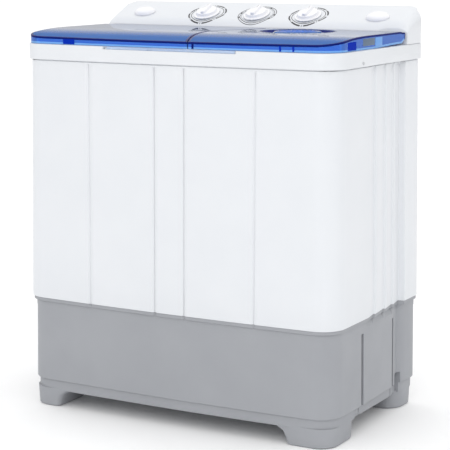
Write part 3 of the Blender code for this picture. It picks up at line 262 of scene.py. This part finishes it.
def turned(source, profile, steps=64, around=False, material=0, squash=1.0):
    """A profile of (radius, height) turned about Z; squash makes it oval."""
    turns = [2.0 * math.pi * k / steps for k in range(steps)]
    rings = [[(radius * math.cos(t), radius * squash * math.sin(t), height) for t in turns]
             for radius, height in profile]
    skin(source, rings, around=around, material=material)


def arc(cx, cy, radius, start, end, steps):
    turns = [math.radians(start + (end - start) * k / steps) for k in range(steps + 1)]
    return [(cx + radius * math.cos(t), cy + radius * math.sin(t)) for t in turns]


def round_rect(x0, x1, y0, y1, radius, steps=8):
    points = arc(x0 + radius, y0 + radius, radius, 180, 270, steps)
    points += arc(x1 - radius, y0 + radius, radius, 270, 360, steps)
    points += arc(x1 - radius, y1 - radius, radius, 0, 90, steps)
    points += arc(x0 + radius, y1 - radius, radius, 90, 180, steps)
    return points


def level(outline, z):
    """A flat outline as points at one height."""
    return [(x, y, z) for x, y in outline]


def smooth_step(t):
    t = min(1.0, max(0.0, t))
    return t * t * (3.0 - 2.0 * t)


def block(source, low, high, radius, soft=0.0006):
    """An upright block with round corners in plan and a softened top edge."""
    rings = []
    for inset, z in ((0.0, low[2]), (0.0, high[2] - soft), (soft * 0.3, high[2] - soft * 0.3), (soft, high[2])):
        corner = max(radius - inset, 1e-4)
        plan = round_rect(low[0] + inset, high[0] - inset, low[1] + inset, high[1] - inset, corner, 5)
        rings.append(level(plan, z))
    skin(source, rings)


# --- cabinet ---------------------------------------------------------------------------------

def flute_points():
    """The flute table with its short steps rounded."""
    points = []
    for (y0, d0), (y1, d1) in zip(FLUTES, FLUTES[1:]):
        short = y1 - y0 < 0.006
        for k in range(8 if short else 4):
            t = k / (8 if short else 4)
            points.append((y0 + (y1 - y0) * t, d0 + (d1 - d0) * (smooth_step(t) if short else t)))
    return points + [FLUTES[-1]]


def shell_outline(half, front, rear, inset=0.0, grooves=0.0, flutes=0.0):
    """The machine's plan, anticlockwise from the front left: bowed front, round corners, fluted sides."""
    half, rear = half - inset, rear - inset
    corner_y = front + BOW + inset
    front_radius, rear_radius = FRONT_RADIUS - inset, REAR_RADIUS - inset
    points = arc(-half + front_radius, corner_y + front_radius, front_radius, 180, 270, 18)
    run = half - front_radius
    marks = [(run * k / 14, 0.0) for k in range(-13, 14)]
    marks = [(x, d) for x, d in marks if all(abs(x - g) > 0.004 for g in GROOVES)]
    for x in GROOVES:
        marks += [(x + GROOVE_HALF * u / 4, (1 - (u / 4) ** 2) ** 1.5) for u in range(-4, 5)]
    points += [(x, corner_y + depth * grooves * GROOVE_DEPTH) for x, depth in sorted(marks)]
    points += arc(half - front_radius, corner_y + front_radius, front_radius, 270, 360, 18)
    table = flute_points()
    points += [(half - depth * flutes, y) for y, depth in table]
    points += arc(half - rear_radius, rear - rear_radius, rear_radius, 0, 90, 12)
    points += [(x * half, rear) for x in (0.6, 0.3, 0.0, -0.3, -0.6)]
    points += arc(-half + rear_radius, rear - rear_radius, rear_radius, 90, 180, 12)
    points += [(-half + depth * flutes, y) for y, depth in reversed(table)]
    return [(x, y - BOW * (1 - (x / half) ** 2) * (y < 0)) if y < corner_y + front_radius + 1e-6 else (x, y)
            for x, y in points]


def cabinet_at(z):
    share = (z - BASE_TOP) / (CABINET_TOP - BASE_TOP)
    return {key: CABINET_FOOT[key] * (1 - share) + CABINET_HEAD[key] * share for key in CABINET_FOOT}


def make_cabinet():
    low = BASE_TOP + GAP
    source = bmesh.new()
    rings = [
        level(shell_outline(**cabinet_at(low), inset=0.0010, grooves=1.0, flutes=1.0), low),
        level(shell_outline(**cabinet_at(low), inset=0.0003, grooves=1.0, flutes=1.0), low + 0.0004),
        level(shell_outline(**cabinet_at(low), grooves=1.0, flutes=1.0), low + 0.0012),
    ]
    for z in (0.30, 0.38, 0.46, 0.54, 0.62, 0.70, GROOVE_TOP - 0.002):
        rings.append(level(shell_outline(**cabinet_at(z), grooves=1.0, flutes=1.0), z))
    rings += [
        level(shell_outline(**cabinet_at(GROOVE_TOP), grooves=0.8, flutes=0.96), GROOVE_TOP - 0.0008),
        level(shell_outline(**cabinet_at(GROOVE_TOP), grooves=0.0, flutes=0.9), GROOVE_TOP + 0.0004),
        level(shell_outline(**cabinet_at(GROOVE_TOP), grooves=0.0, flutes=0.9), CABINET_TOP - 0.0022),
        level(shell_outline(**CABINET_HEAD, inset=0.0022, flutes=0.9), CABINET_TOP - 0.0020),
        level(shell_outline(**CABINET_HEAD, inset=0.0022, flutes=0.9), CABINET_TOP),
        level(shell_outline(**CABINET_HEAD, inset=WALL, flutes=1.0), CABINET_TOP),
        level(shell_outline(**cabinet_at(low), inset=WALL, flutes=1.0), low),
    ]
    skin(source, rings, around=True)
    cabinet = piece("cabinet_shell", source, "white_shell", replaces=["cabinet"], smooth_angle=38)
    cutter_source = bmesh.new()
    bmesh.ops.create_cube(cutter_source, size=1.0)
    size = (2 * COVER["half"] - 0.030, 0.040, COVER["high"] - COVER["low"] - 0.030)
    bmesh.ops.scale(cutter_source, vec=size, verts=cutter_source.verts)
    bmesh.ops.translate(cutter_source, vec=(0.0, 0.220, (COVER["low"] + COVER["high"]) / 2), verts=cutter_source.verts)
    carve(cabinet, cutter_source)


def carve(target, source):
    """Cuts a bmesh out of a piece for good, keeping no helper object behind."""
    mesh = bpy.data.meshes.new("cutter")
    bmesh.ops.recalc_face_normals(source, faces=source.faces)
    source.to_mesh(mesh)
    source.free()
    cutter = bpy.data.objects.new("cutter", mesh)
    bpy.context.scene.collection.objects.link(cutter)
    cutter.matrix_world = target.matrix_world
    modifier = target.modifiers.new("carve", "BOOLEAN")
    modifier.operation = "DIFFERENCE"
    modifier.object = cutter
    bpy.context.view_layer.update()
    graph = bpy.context.evaluated_depsgraph_get()
    carved = bpy.data.meshes.new_from_object(target.evaluated_get(graph))
    target.modifiers.remove(modifier)
    target.data = carved
    bpy.data.objects.remove(cutter)


# --- console ---------------------------------------------------------------------------------

OVAL, PRINT_SHIFT = 0.87, 0.0020  # the scales are a little oval and lie a little above the dials' centres
PRINT_LOW, PRINT_HIGH = -0.00004, 0.00016
RECESS_X, RECESS_RUN = 0.304, 0.021


def face_height(y):
    return DIAL_Z + (y - DIAL_Y) * math.tan(CONSOLE_TILT)


def foot_height(y, toe):
    """The console's face with its foot, which curves down steeply towards the lids."""
    return face_height(y) - CONSOLE_FOOT * max(0.0, 1 - (y - toe) / FOOT_RUN) ** 2


def make_console():
    half, rear, front = DECK["half"], DECK["rear"], CONSOLE_FRONT
    low, top = DECK_TOP + GAP, CONSOLE_TOP
    slope = math.tan(CONSOLE_TILT)
    crest_y = DIAL_Y + (top - 0.0022 - DIAL_Z) / slope
    radius = 0.028
    ends = [half - radius + radius * math.sin(math.radians(a)) for a in (0, 8, 16, 24, 32, 40, 48, 56, 64, 72, 78, 83)]
    ends = [0.10, 0.20, 0.27, 0.300, 0.304, 0.308, 0.312, 0.316, 0.320, 0.325, 0.332] + ends
    rings = []
    for x in [-x for x in reversed(ends)] + [0.0] + ends:
        toe = front + CONSOLE_RECESS * smooth_step((x - RECESS_X) / RECESS_RUN)
        foot = [toe + FOOT_RUN * (k / 12) ** 1.3 for k in range(13)]
        profile = [(toe, low)] + [(y, foot_height(y, toe)) for y in foot]
        run = crest_y - toe - FOOT_RUN
        profile += [(y, face_height(y)) for y in (toe + FOOT_RUN + run * k / 6 for k in range(1, 7))]
        profile += [(crest_y + 0.0026, top - 0.0011), (crest_y + 0.0052, top - 0.0004), (crest_y + 0.0080, top),
                    (rear - 0.0040, top), (rear - 0.0020, top - 0.0005), (rear - 0.0006, top - 0.0018),
                    (rear, top - 0.0038), (rear, low)]
        beyond = max(0.0, abs(x) - (half - radius))
        fall = radius - math.sqrt(radius * radius - beyond * beyond)
        pull = (REAR_RADIUS - math.sqrt(REAR_RADIUS ** 2 - min(beyond, REAR_RADIUS) ** 2)) * 0.9
        flat, squat = 1 - pull / (rear - toe), 1 - fall / (top - low)
        rings.append([(x, toe + (y - toe) * flat, low + (z - low) * squat) for y, z in profile])
    source = bmesh.new()
    skin(source, rings)
    piece("console_cover", source, "white_shell", replaces=["console_housing"], smooth_angle=40)


def dash(source, radius, width, start, end, z0, z1):
    """A raised arc of an oval ring from start to end degrees, flat on top."""
    steps = max(2, int(abs(end - start) / 3))
    rings = []
    for k in range(steps + 1):
        t = math.radians(start + (end - start) * k / steps)
        c, s = math.cos(t), math.sin(t) * OVAL
        inner, outer = radius - width / 2, radius + width / 2
        rings.append([(inner * c, inner * s, z0), (outer * c, outer * s, z0), (outer * c, outer * s, z1),
                      (inner * c, inner * s, z1)])
    skin(source, rings)


def ring(source, radius, width, z0, z1, material=0):
    turned(source, [(radius - width / 2, z0), (radius + width / 2, z0), (radius + width / 2, z1),
                    (radius - width / 2, z1)], steps=96, around=True, material=material, squash=OVAL)


def drape(source):
    """Lays a print drawn on the flat of the face down on the face's curved foot."""
    for vertex in source.verts:
        vertex.co.y += PRINT_SHIFT
        place = on_console(0.0) @ vertex.co
        if place.y < CONSOLE_FRONT + FOOT_RUN:
            depth = face_height(place.y) - foot_height(place.y, CONSOLE_FRONT) - 0.00008
            vertex.co.y -= depth * math.sin(CONSOLE_TILT)
            vertex.co.z -= depth * math.cos(CONSOLE_TILT)


# Digits of a generic seven-stroke face: each stroke is a line between two corners of a 1 x 2 cell
STROKES = (((0, 2), (1, 2)), ((1, 2), (1, 1)), ((1, 1), (1, 0)), ((1, 0), (0, 0)), ((0, 0), (0, 1)), ((0, 1), (0, 2)),
           ((0, 1), (1, 1)))
DIGITS = {0: (0, 1, 2, 3, 4, 5), 1: (1, 2), 2: (0, 1, 6, 4, 3), 3: (0, 1, 6, 2, 3), 4: (5, 6, 1, 2), 5: (0, 5, 6, 2, 3),
          6: (0, 5, 4, 3, 2, 6), 8: (0, 1, 2, 3, 4, 5, 6), 9: (6, 5, 0, 1, 2, 3)}


def digits(source, value, centre, height, z0, z1):
    """A printed number: thin raised strokes, centred on a point of the face."""
    text = str(value)
    cell, pen = height / 2, height * 0.09
    width = len(text) * cell * 1.5 - cell * 0.5
    for k, letter in enumerate(text):
        left = centre[0] - width / 2 + k * cell * 1.5
        for stroke in DIGITS[int(letter)]:
            (ax, ay), (bx, by) = STROKES[stroke]
            x0, x1 = sorted((left + ax * cell, left + bx * cell))
            y0, y1 = sorted((centre[1] - height / 2 + ay * cell, centre[1] - height / 2 + by * cell))
            corners = [(x0 - pen, y0 - pen), (x1 + pen, y0 - pen), (x1 + pen, y1 + pen), (x0 - pen, y1 + pen)]
            skin(source, [level(corners, z0), level(corners, z1)])


def bar(source, x0, x1, y0, y1, z0, z1, material=0):
    """A small flat bar."""
    corners = [(x0, y0), (x1, y0), (x1, y1), (x0, y1)]
    skin(source, [level(corners, z0), level(corners, z1)], material=material)


def make_timer_print(name, x, marks):
    """A timer's scale: a broken dark ring, numbers in its gaps, and a thin dark ring inside."""
    source = bmesh.new()
    radius, half_dash = 0.0438, 17
    for k in range(8):
        middle = 22.5 + 45 * k
        dash(source, radius, 0.0034, middle - half_dash, middle + half_dash, PRINT_LOW, PRINT_HIGH)
    for k, mark in enumerate(marks):
        turn = math.radians(45 * k)
        digits(source, mark, (radius * math.cos(turn), radius * OVAL * math.sin(turn)), 0.0028, PRINT_LOW, PRINT_HIGH)
    ring(source, 0.0382, 0.0014, PRINT_LOW, PRINT_HIGH)
    drape(source)
    piece(f"{name}_scale", source, ["print_dark", "print_grey"], place=on_console(x), smooth_angle=20)


def make_mode_print(name, x):
    """The mode scale: two thin rings with dark blocks across them at the three settings."""
    source = bmesh.new()
    ring(source, 0.0445, 0.0014, PRINT_LOW, PRINT_HIGH)
    ring(source, 0.0400, 0.0013, PRINT_LOW, PRINT_HIGH)
    ring(source, 0.0368, 0.0009, PRINT_LOW, PRINT_HIGH, material=1)
    for turn in (-28, 0, 62, 95, 172, 205):
        dash(source, 0.0423, 0.0046, turn - 4.0, turn + 4.0, PRINT_LOW, PRINT_HIGH)
    drape(source)
    piece(f"{name}_scale", source, ["print_dark", "print_grey"], place=on_console(x), smooth_angle=20)


def make_knob(name, x):
    """A pointer knob: a low dished skirt with a fine rim, a round body, and a tall bar grip."""
    rise = 0.0010
    source = bmesh.new()
    profile = [(0.0288, rise), (0.0296, rise + 0.0006), (0.0296, rise + 0.0018), (0.0291, rise + 0.0023),
               (0.0280, rise + 0.0024), (0.0272, rise + 0.0021), (0.0262, rise + 0.0023), (0.0252, rise + 0.0030),
               (0.0243, rise + 0.0042), (0.0236, rise + 0.0058), (0.0231, rise + 0.0074), (0.0224, rise + 0.0086),
               (0.0212, rise + 0.0091), (0.0115, rise + 0.0093)]
    turned(source, profile, steps=96)
    sections = ((0.0050, 0.0085, 0.0211), (0.0080, 0.0072, 0.0211), (0.0105, 0.0060, 0.0209), (0.0128, 0.0050, 0.0206),
                (0.0141, 0.0042, 0.0202), (0.0147, 0.0032, 0.0194), (0.0148, 0.0018, 0.0180))
    skin(source, [level(round_rect(-half, half, -length, length, half * 0.96, 8), rise + z)
                  for z, half, length in sections])
    top = rise + 0.0148
    bar(source, -0.0005, 0.0005, 0.0060, 0.0175, top - 0.0004, top, material=1)
    piece(f"{name}_knob_cap", source, ["white_control", "print_grey"], body=f"{name}_knob",
          replaces=[f"{name}_knob"], place=on_console(x), smooth_angle=30)


def make_inlet_cap(side, name):
    """A smooth oval cap with a fine parting line round its foot."""
    source = bmesh.new()
    rings = []
    for z, share in ((GAP, 0.985), (0.0007, 1.0), (0.0018, 1.0), (0.0024, 0.985), (0.0036, 0.970), (0.0052, 0.925),
                     (0.0068, 0.850), (0.0082, 0.745), (0.0093, 0.610), (0.0101, 0.440), (0.0105, 0.250),
                     (0.0106, 0.080)):
        rings.append([(0.0265 * share * math.cos(t), 0.0195 * share * math.sin(t), z)
                      for t in (2 * math.pi * k / 64 for k in range(64))])
    skin(source, rings)
    turned(source, [(0.0120, -0.0070), (0.0128, -0.0062), (0.0128, 0.0012)], steps=40)
    piece(f"inlet_cap_{name}_dome", source, "white_control", body=f"inlet_cap_{name}",
          replaces=[f"inlet_cap_{name}"], place=on_console(side * CAP_X), smooth_angle=45)


# --- lids ------------------------------------------------------------------------------------

def lid_height(y):
    t = min(1.0, max(0.0, (y - LID["front"]) / LID_REACH))
    rise = (LID_FLAT_Z - LID_FRONT_Z) * (1.0 - (1.0 - t) ** 2.4)
    tail = 0.0020 * smooth_step((y - (LID["rear"] - 0.010)) / 0.010)
    return LID_FRONT_Z + rise - tail


def ear_share(x):
    """1 where the lid runs on behind its hinge line in an ear at its outer end, 0 elsewhere."""
    return smooth_step((x - EAR_X) / 0.012)


def seam_x(y):
    t = (y - LID["front"]) / (LID["rear"] - LID["front"])
    if t < 0.5:
        return SEAM_X - SEAM_BULGE * math.sin(math.pi * max(0.0, t)) ** 0.8
    return SEAM_X - SEAM_BULGE * (1.0 - smooth_step((t - 0.5) / 0.42))


CORNER, CORNER_ROWS, LENGTH_ROWS, COLUMNS = FRONT_RADIUS - 0.0035, 16, 84, 92
HEM_RISE, EAR_RISE = 0.0030, 0.0078  # how far the side skirt's lower edge rises along the side, and round the ear


def lid_rows(inset):
    """Rows of the lid from front to rear: (side half width, depth behind the front line)."""
    rows = []
    share = inset / CORNER
    for k in range(CORNER_ROWS + 1):
        turn = math.radians(90.0 * k / CORNER_ROWS)
        half, back = CORNER * math.sin(turn), CORNER * (1 - math.cos(turn))
        rows.append((LID["half"] - CORNER + half * (1 - share), CORNER + (back - CORNER) * (1 - share)))
    length = LID["rear"] - LID["front"] - BOW
    for k in range(1, LENGTH_ROWS + 1):
        back = CORNER + (length - CORNER) * k / LENGTH_ROWS
        rows.append((LID["half"] - inset, back - (inset if k == LENGTH_ROWS else 0.0)))
    return rows


DISH_X, DISH_Y, DISH_RADIUS, DISH_DEPTH = 0.172, 0.018, 0.080, 0.0058
BUTTON_RADIUS, BUTTON_BOWL = 0.054, 0.0034
DISH_RINGS = (DISH_RADIUS, BUTTON_RADIUS + 0.001, BUTTON_RADIUS - 0.006)
RING_CATCH = 0.0024


def dish_reach(x, y):
    return math.hypot(x - DISH_X, y - DISH_Y)


def dish_drop(x, y):
    """How far the round grip dish in the spin lid lies below its skin: a moat round a button with its own bowl."""
    reach = dish_reach(x, y)
    moat = smooth_step((DISH_RADIUS - reach) / 0.007)
    button = smooth_step((BUTTON_RADIUS - reach) / 0.006)
    bowl = BUTTON_BOWL * smooth_step((BUTTON_RADIUS - 0.009 - reach) / 0.006)
    lip = -0.0008 * max(0.0, 1 - ((reach - DISH_RADIUS - 0.003) / 0.004) ** 2)
    return DISH_DEPTH * moat * (1 - button) + button * (bowl - 0.0006) + lip


def onto_ring(x, y, z):
    """A point beside one of the dish's rings moves onto it, so that the edges of the dish's painted shade and painted
    light are round.
    """
    reach = dish_reach(x, y)
    for radius in DISH_RINGS:
        if abs(reach - radius) < RING_CATCH:
            u, v = DISH_X + (x - DISH_X) * radius / reach, DISH_Y + (y - DISH_Y) * radius / reach
            return u, v, z + lid_height(v) - lid_height(y)
    return x, y, z


def ring_pieces(corners):
    """A four-sided patch, cut along the diagonal that lies nearest to a ring which crosses it."""
    reaches = [dish_reach(corner.co.x, corner.co.y) for corner in corners]
    for radius in DISH_RINGS:
        if min(reaches) < radius - 1e-5 and max(reaches) > radius + 1e-5:
            off = [abs(reach - radius) for reach in reaches]
            a, b, c, d = corners
            return [(a, b, c), (a, c, d)] if off[0] + off[2] < off[1] + off[3] else [(a, b, d), (b, c, d)]
    return [corners]


def lid_grid(side, inset, drop, dip=0.0):
    """A lid's surface points as rows; dip lowers its outer edges, which rounds them."""
    grid = []
    for half, back in lid_rows(inset):
        row = []
        y_row = LID["front"] + BOW + back
        inner = seam_x(y_row) + side * (SEAM_HALF + inset)
        outer = side * half
        for k in range(COLUMNS + 1):
            share = (1 - math.cos(math.pi * k / COLUMNS)) / 2
            x = outer + (inner - outer) * share
            y = y_row - BOW * (1 - (x / LID["half"]) ** 2) * max(0.0, 1 - back / 0.2)
            y += EAR_REACH * ear_share(x) * smooth_step((y - (LID["rear"] - 0.050)) / 0.050)
            row.append((x, y, lid_height(y) - drop - dip))
        grid.append(row)
    return grid


def rim_path(rows, columns):
    path = [(r, 0) for r in range(rows - 1, 0, -1)]
    path += [(0, c) for c in range(columns)]
    path += [(r, columns) for r in range(rows - 1)]
    path += [(rows - 1, c) for c in range(columns, 0, -1)]
    return path


def lid_hem(r, c, rows, point):
    """Height of the lid's lower edge: a deep skirt at the side, front and ear, a thin edge at seam and rear."""
    x, y, z = point
    thin = z - LID_SKIN - 0.0004
    if r == rows - 1:
        return thin + (EAR_BOTTOM - thin) * ear_share(x)
    if c == COLUMNS and r > 0:
        return thin
    slope, corner = smooth_step((y + 0.040) / 0.140), smooth_step((y - 0.108) / 0.020)
    return LID_BOTTOM + HEM_RISE * slope + EAR_RISE * corner


def make_lid(name, side):
    """A clear lid: a thin skin with a rounded edge, a deep skirt in front and at the side, and hinge lugs."""
    source = bmesh.new()
    edges = [lid_grid(side, 0.0, 0.0, 0.0015), lid_grid(side, 0.0004, 0.0, 0.0004), lid_grid(side, 0.0015, 0.0),
             lid_grid(side, 0.0046, 0.0)]
    under = lid_grid(side, 0.0048, LID_SKIN)
    rows = len(under)
    top = edges[-1]
    if side > 0:
        top, under = ([[onto_ring(*point) for point in row] for row in grid] for grid in (top, under))
        top, under = ([[(x, y, z - dish_drop(x, y)) for x, y, z in row] for row in grid] for grid in (top, under))
    tops = [[source.verts.new(p) for p in row] for row in top]
    unders = [[source.verts.new(p) for p in row] for row in under]
    for r in range(rows - 1):
        for c in range(COLUMNS):
            above = (tops[r][c], tops[r][c + 1], tops[r + 1][c + 1], tops[r + 1][c])
            below = (unders[r][c], unders[r + 1][c], unders[r + 1][c + 1], unders[r][c + 1])
            for corners in (ring_pieces(above) + ring_pieces(below) if side > 0 else (above, below)):
                face = source.faces.new(corners)
                middle = face.calc_center_median()
                reach = dish_reach(middle.x, middle.y)
                # Painted shade and light in the dish: the moat takes the dark edge look as painted shade in the recess,
                # and the button's middle the bright skirt look as painted light
                if side > 0 and (reach < DISH_RINGS[2] or DISH_RINGS[1] < reach < DISH_RADIUS):
                    face.material_index = 1 if reach > BUTTON_RADIUS else 2
    path = rim_path(rows, COLUMNS)
    columns = []
    for r, c in path:
        x, y, z = edges[0][r][c]
        u, v, _ = under[r][c]
        foot = min(lid_hem(r, c, rows, (x, y, z + 0.0015)), z - 0.0010)
        deep = z - foot
        column = [tops[r][c], source.verts.new(edges[2][r][c]), source.verts.new(edges[1][r][c])]
        column += [source.verts.new((x, y, level_z)) for level_z in
                   (z, z - min(0.0024, 0.4 * deep), foot + min(0.0040, 0.3 * deep), foot)]
        columns.append((column + [source.verts.new((u, v, foot)), unders[r][c]], r == rows - 1))
    for k, (here, at_rear) in enumerate(columns):
        after = columns[(k + 1) % len(columns)][0]
        for j in range(8):
            face = source.faces.new((here[j], after[j], after[j + 1], here[j + 1]))
            # Painted shade and light on one clear moulding: the rounded rim and the rear edge take the dark edge look
            # as painted shade, the skirt a brighter look as painted light through it, and its lower edge the brightest
            # look as a painted glow
            face.material_index = 1 if at_rear else (1, 1, 1, 1, 2, 3, 3, 2)[j]
    for x in HINGES:
        if (x < 0) == (side < 0):
            outline = arc(HINGE_Y, HINGE_Z, HINGE_RADIUS, 180, 360, 16)
            outline += [(HINGE_Y + HINGE_RADIUS, HINGE_Z + 0.0050), (HINGE_Y - HINGE_RADIUS, HINGE_Z + 0.0050)]
            skin(source, [[(x + offset, y, z) for y, z in outline] for offset in (-HINGE_HALF, HINGE_HALF)])
    piece(f"{name}_shell", source, ["blue_lid", "blue_edge", "blue_skirt", "blue_light"], body=name, replaces=[name],
          smooth_angle=50)


def make_grip_inlay():
    """A thin pale blue strip on the floor and back of the finger recess below the lids' front edge: painted light, the
    blue light that falls through the lids onto the white recess.
    """
    source = bmesh.new()
    floor_z, back_y = DECK_TOP - GRIP_DEPTH, -0.2120
    profile = [(back_y - 0.0060, floor_z + 0.0002), (back_y - 0.0004, floor_z + 0.0002),
               (back_y - 0.0004, DECK_TOP - 0.0004), (back_y - 0.0008, DECK_TOP - 0.0004),
               (back_y - 0.0010, floor_z + 0.0008), (back_y - 0.0060, floor_z + 0.0005)]
    skin(source, [[(x, y, z) for y, z in profile] for x in (-GRIP_HALF, GRIP_HALF)])
    piece("grip_painted_light", source, "pale_blue")


def make_lid_details():
    """Small parts that show in the skirts: a tab at the seam, ribs in front, and blocks and a rib at the right side."""
    shapes = (
        ("seam_tab", "spin_lid", "blue_edge", (0.0545, -0.2190, 0.7905), (0.0600, -0.2150, 0.8020)),
        ("switch_block", "spin_lid", "blue_dark", (0.3560, -0.1530, 0.7920), (0.3673, -0.1150, 0.8078)),
        ("label_block", "spin_lid", "olive_part", (0.3560, -0.0830, 0.7975), (0.3668, -0.0250, 0.8120)),
        ("side_rib", "spin_lid", "blue_light", (0.3560, -0.0230, 0.7945), (0.3667, 0.0120, 0.8120)),
    )
    for name, body, look, low, high in shapes:
        source = bmesh.new()
        block(source, low, high, 0.0010)
        piece(name, source, look, body=body)
    ribs = (
        ("wash_rib", "wash_lid", -0.2580, -0.2290),
        ("latch_rib_left", "spin_lid", 0.2490, 0.2530),
        ("latch_rib_right", "spin_lid", 0.2770, 0.2810),
    )
    for name, body, left, right in ribs:
        source = bmesh.new()
        sections = []
        for k in range(7):
            x = left + (right - left) * k / 6
            y = LID["front"] + BOW * (x / LID["half"]) ** 2 - 0.0003
            low, high, back = LID_BOTTOM + 0.0008, 0.8010, y + 0.003
            sections.append([(x, y, low), (x, y, high), (x, back, high), (x, back, low)])
        skin(source, sections)
        piece(name, source, "blue_dark", body=body)


# --- CAD nodes kept as they are --------------------------------------------------------------

def smoothing_group():
    """Welds a node's triangles and shades it smooth but for edges over 30 degrees. Its own mesh stays as packed."""
    group = bpy.data.node_groups.new("weld_and_smooth", "GeometryNodeTree")
    group.interface.new_socket("Geometry", in_out="INPUT", socket_type="NodeSocketGeometry")
    group.interface.new_socket("Geometry", in_out="OUTPUT", socket_type="NodeSocketGeometry")
    start, end = group.nodes.new("NodeGroupInput"), group.nodes.new("NodeGroupOutput")
    weld = group.nodes.new("GeometryNodeMergeByDistance")
    weld.inputs["Distance"].default_value = 1e-6
    angle = group.nodes.new("GeometryNodeInputMeshEdgeAngle")
    soft = group.nodes.new("FunctionNodeCompare")
    soft.operation = "LESS_THAN"
    soft.inputs["B"].default_value = math.radians(30.0)
    faces, lines = group.nodes.new("GeometryNodeSetShadeSmooth"), group.nodes.new("GeometryNodeSetShadeSmooth")
    lines.domain = "EDGE"
    link = group.links.new
    link(start.outputs[0], weld.inputs["Geometry"])
    link(weld.outputs["Geometry"], faces.inputs["Geometry"])
    link(faces.outputs["Geometry"], lines.inputs["Geometry"])
    link(angle.outputs["Unsigned Angle"], soft.inputs["A"])
    link(soft.outputs["Result"], lines.inputs["Shade Smooth"])
    link(lines.outputs["Geometry"], end.inputs[0])
    return group


def dress_nodes():
    group = smoothing_group()
    for row in frame["record"]["subparts"]:
        node = NODES[row["node"]]
        node.data.materials.clear()
        node.data.materials.append(LOOKS[row["material_slot"]])
        node.modifiers.new("smooth", "NODES").node_group = group


# --- camera, light and floor -----------------------------------------------------------------

TARGET = Vector((0.0063, 0.0050, 0.3969))
AZIMUTH, PITCH, DISTANCE, LENS = math.radians(29.2157), math.radians(9.8042), 3.489, 128.9
SIDE_LIGHT, TOP_LIGHT = 0.62, 1.30
FLOOR_RADIUS = 70.0
KEY_PLACE, KEY_AIM, KEY_SIZE, KEY_POWER = (1.5, -3.4, 2.2), (0.1, -0.1, 0.5), 2.0, 22


def make_camera():
    camera = bpy.data.objects.new("camera", bpy.data.cameras.new("camera"))
    back = Vector((math.sin(AZIMUTH) * math.cos(PITCH), -math.cos(AZIMUTH) * math.cos(PITCH), math.sin(PITCH)))
    camera.location = TARGET + back * DISTANCE
    camera.rotation_euler = back.to_track_quat("Z", "Y").to_euler()
    camera.data.lens = LENS
    camera.data.sensor_width = 36.0
    bpy.context.scene.collection.objects.link(camera)
    bpy.context.scene.camera = camera


def area_light(name, place, aim, size, power):
    light = bpy.data.lights.new(name, "AREA")
    light.shape = "DISK"
    light.size = size
    light.energy = power
    obj = bpy.data.objects.new(name, light)
    obj.location = place
    obj.rotation_euler = (Vector(place) - Vector(aim)).to_track_quat("Z", "Y").to_euler()
    bpy.context.scene.collection.objects.link(obj)


def make_world():
    """A white studio: bright overhead and dimmer round the sides, so that the floor burns out to white."""
    world = bpy.data.worlds.new("studio")
    world.use_nodes = True
    tree = world.node_tree
    place = tree.nodes.new("ShaderNodeTexCoord")
    split = tree.nodes.new("ShaderNodeSeparateXYZ")
    ramp = tree.nodes.new("ShaderNodeMapRange")
    ramp.inputs["From Min"].default_value = -0.1
    ramp.inputs["From Max"].default_value = 0.9
    ramp.inputs["To Min"].default_value = SIDE_LIGHT
    ramp.inputs["To Max"].default_value = TOP_LIGHT
    tree.links.new(place.outputs["Generated"], split.inputs["Vector"])
    tree.links.new(split.outputs["Z"], ramp.inputs["Value"])
    tree.links.new(ramp.outputs["Result"], tree.nodes["Background"].inputs["Strength"])
    tree.nodes["Background"].inputs["Color"].default_value = (1.0, 1.0, 1.0, 1.0)
    bpy.context.scene.world = world


def make_stage():
    bpy.context.scene.view_settings.view_transform = "Standard"
    make_world()
    source = bmesh.new()
    bmesh.ops.create_circle(source, cap_ends=True, segments=96, radius=FLOOR_RADIUS)
    mesh = bpy.data.meshes.new("floor")
    source.to_mesh(mesh)
    source.free()
    floor = bpy.data.objects.new("floor", mesh)
    bpy.context.scene.collection.objects.link(floor)
    mesh.materials.append(plastic("studio_floor_look", (0.97, 0.97, 0.97), (0.98, 0.98, 0.98), (0.85, 0.95), 40.0, 1e-4,
                                  edge=0.0))
    area_light("key", KEY_PLACE, KEY_AIM, KEY_SIZE, KEY_POWER)


LOOKS = make_materials()
make_camera()
make_stage()
dress_nodes()
make_cabinet()
make_console()
make_timer_print("wash_timer", -DIAL_PITCH, (3, 6, 9, 12, 15, 0, 0, 0))
make_mode_print("mode", 0.0)
make_timer_print("spin_timer", DIAL_PITCH, (1, 2, 3, 4, 5, 0, 0, 0))
for knob, knob_x in DIALS:
    make_knob(knob, knob_x)
make_inlet_cap(-1, "left")
make_inlet_cap(1, "right")
make_lid("wash_lid", -1)
make_lid("spin_lid", 1)
make_lid_details()
make_grip_inlay()
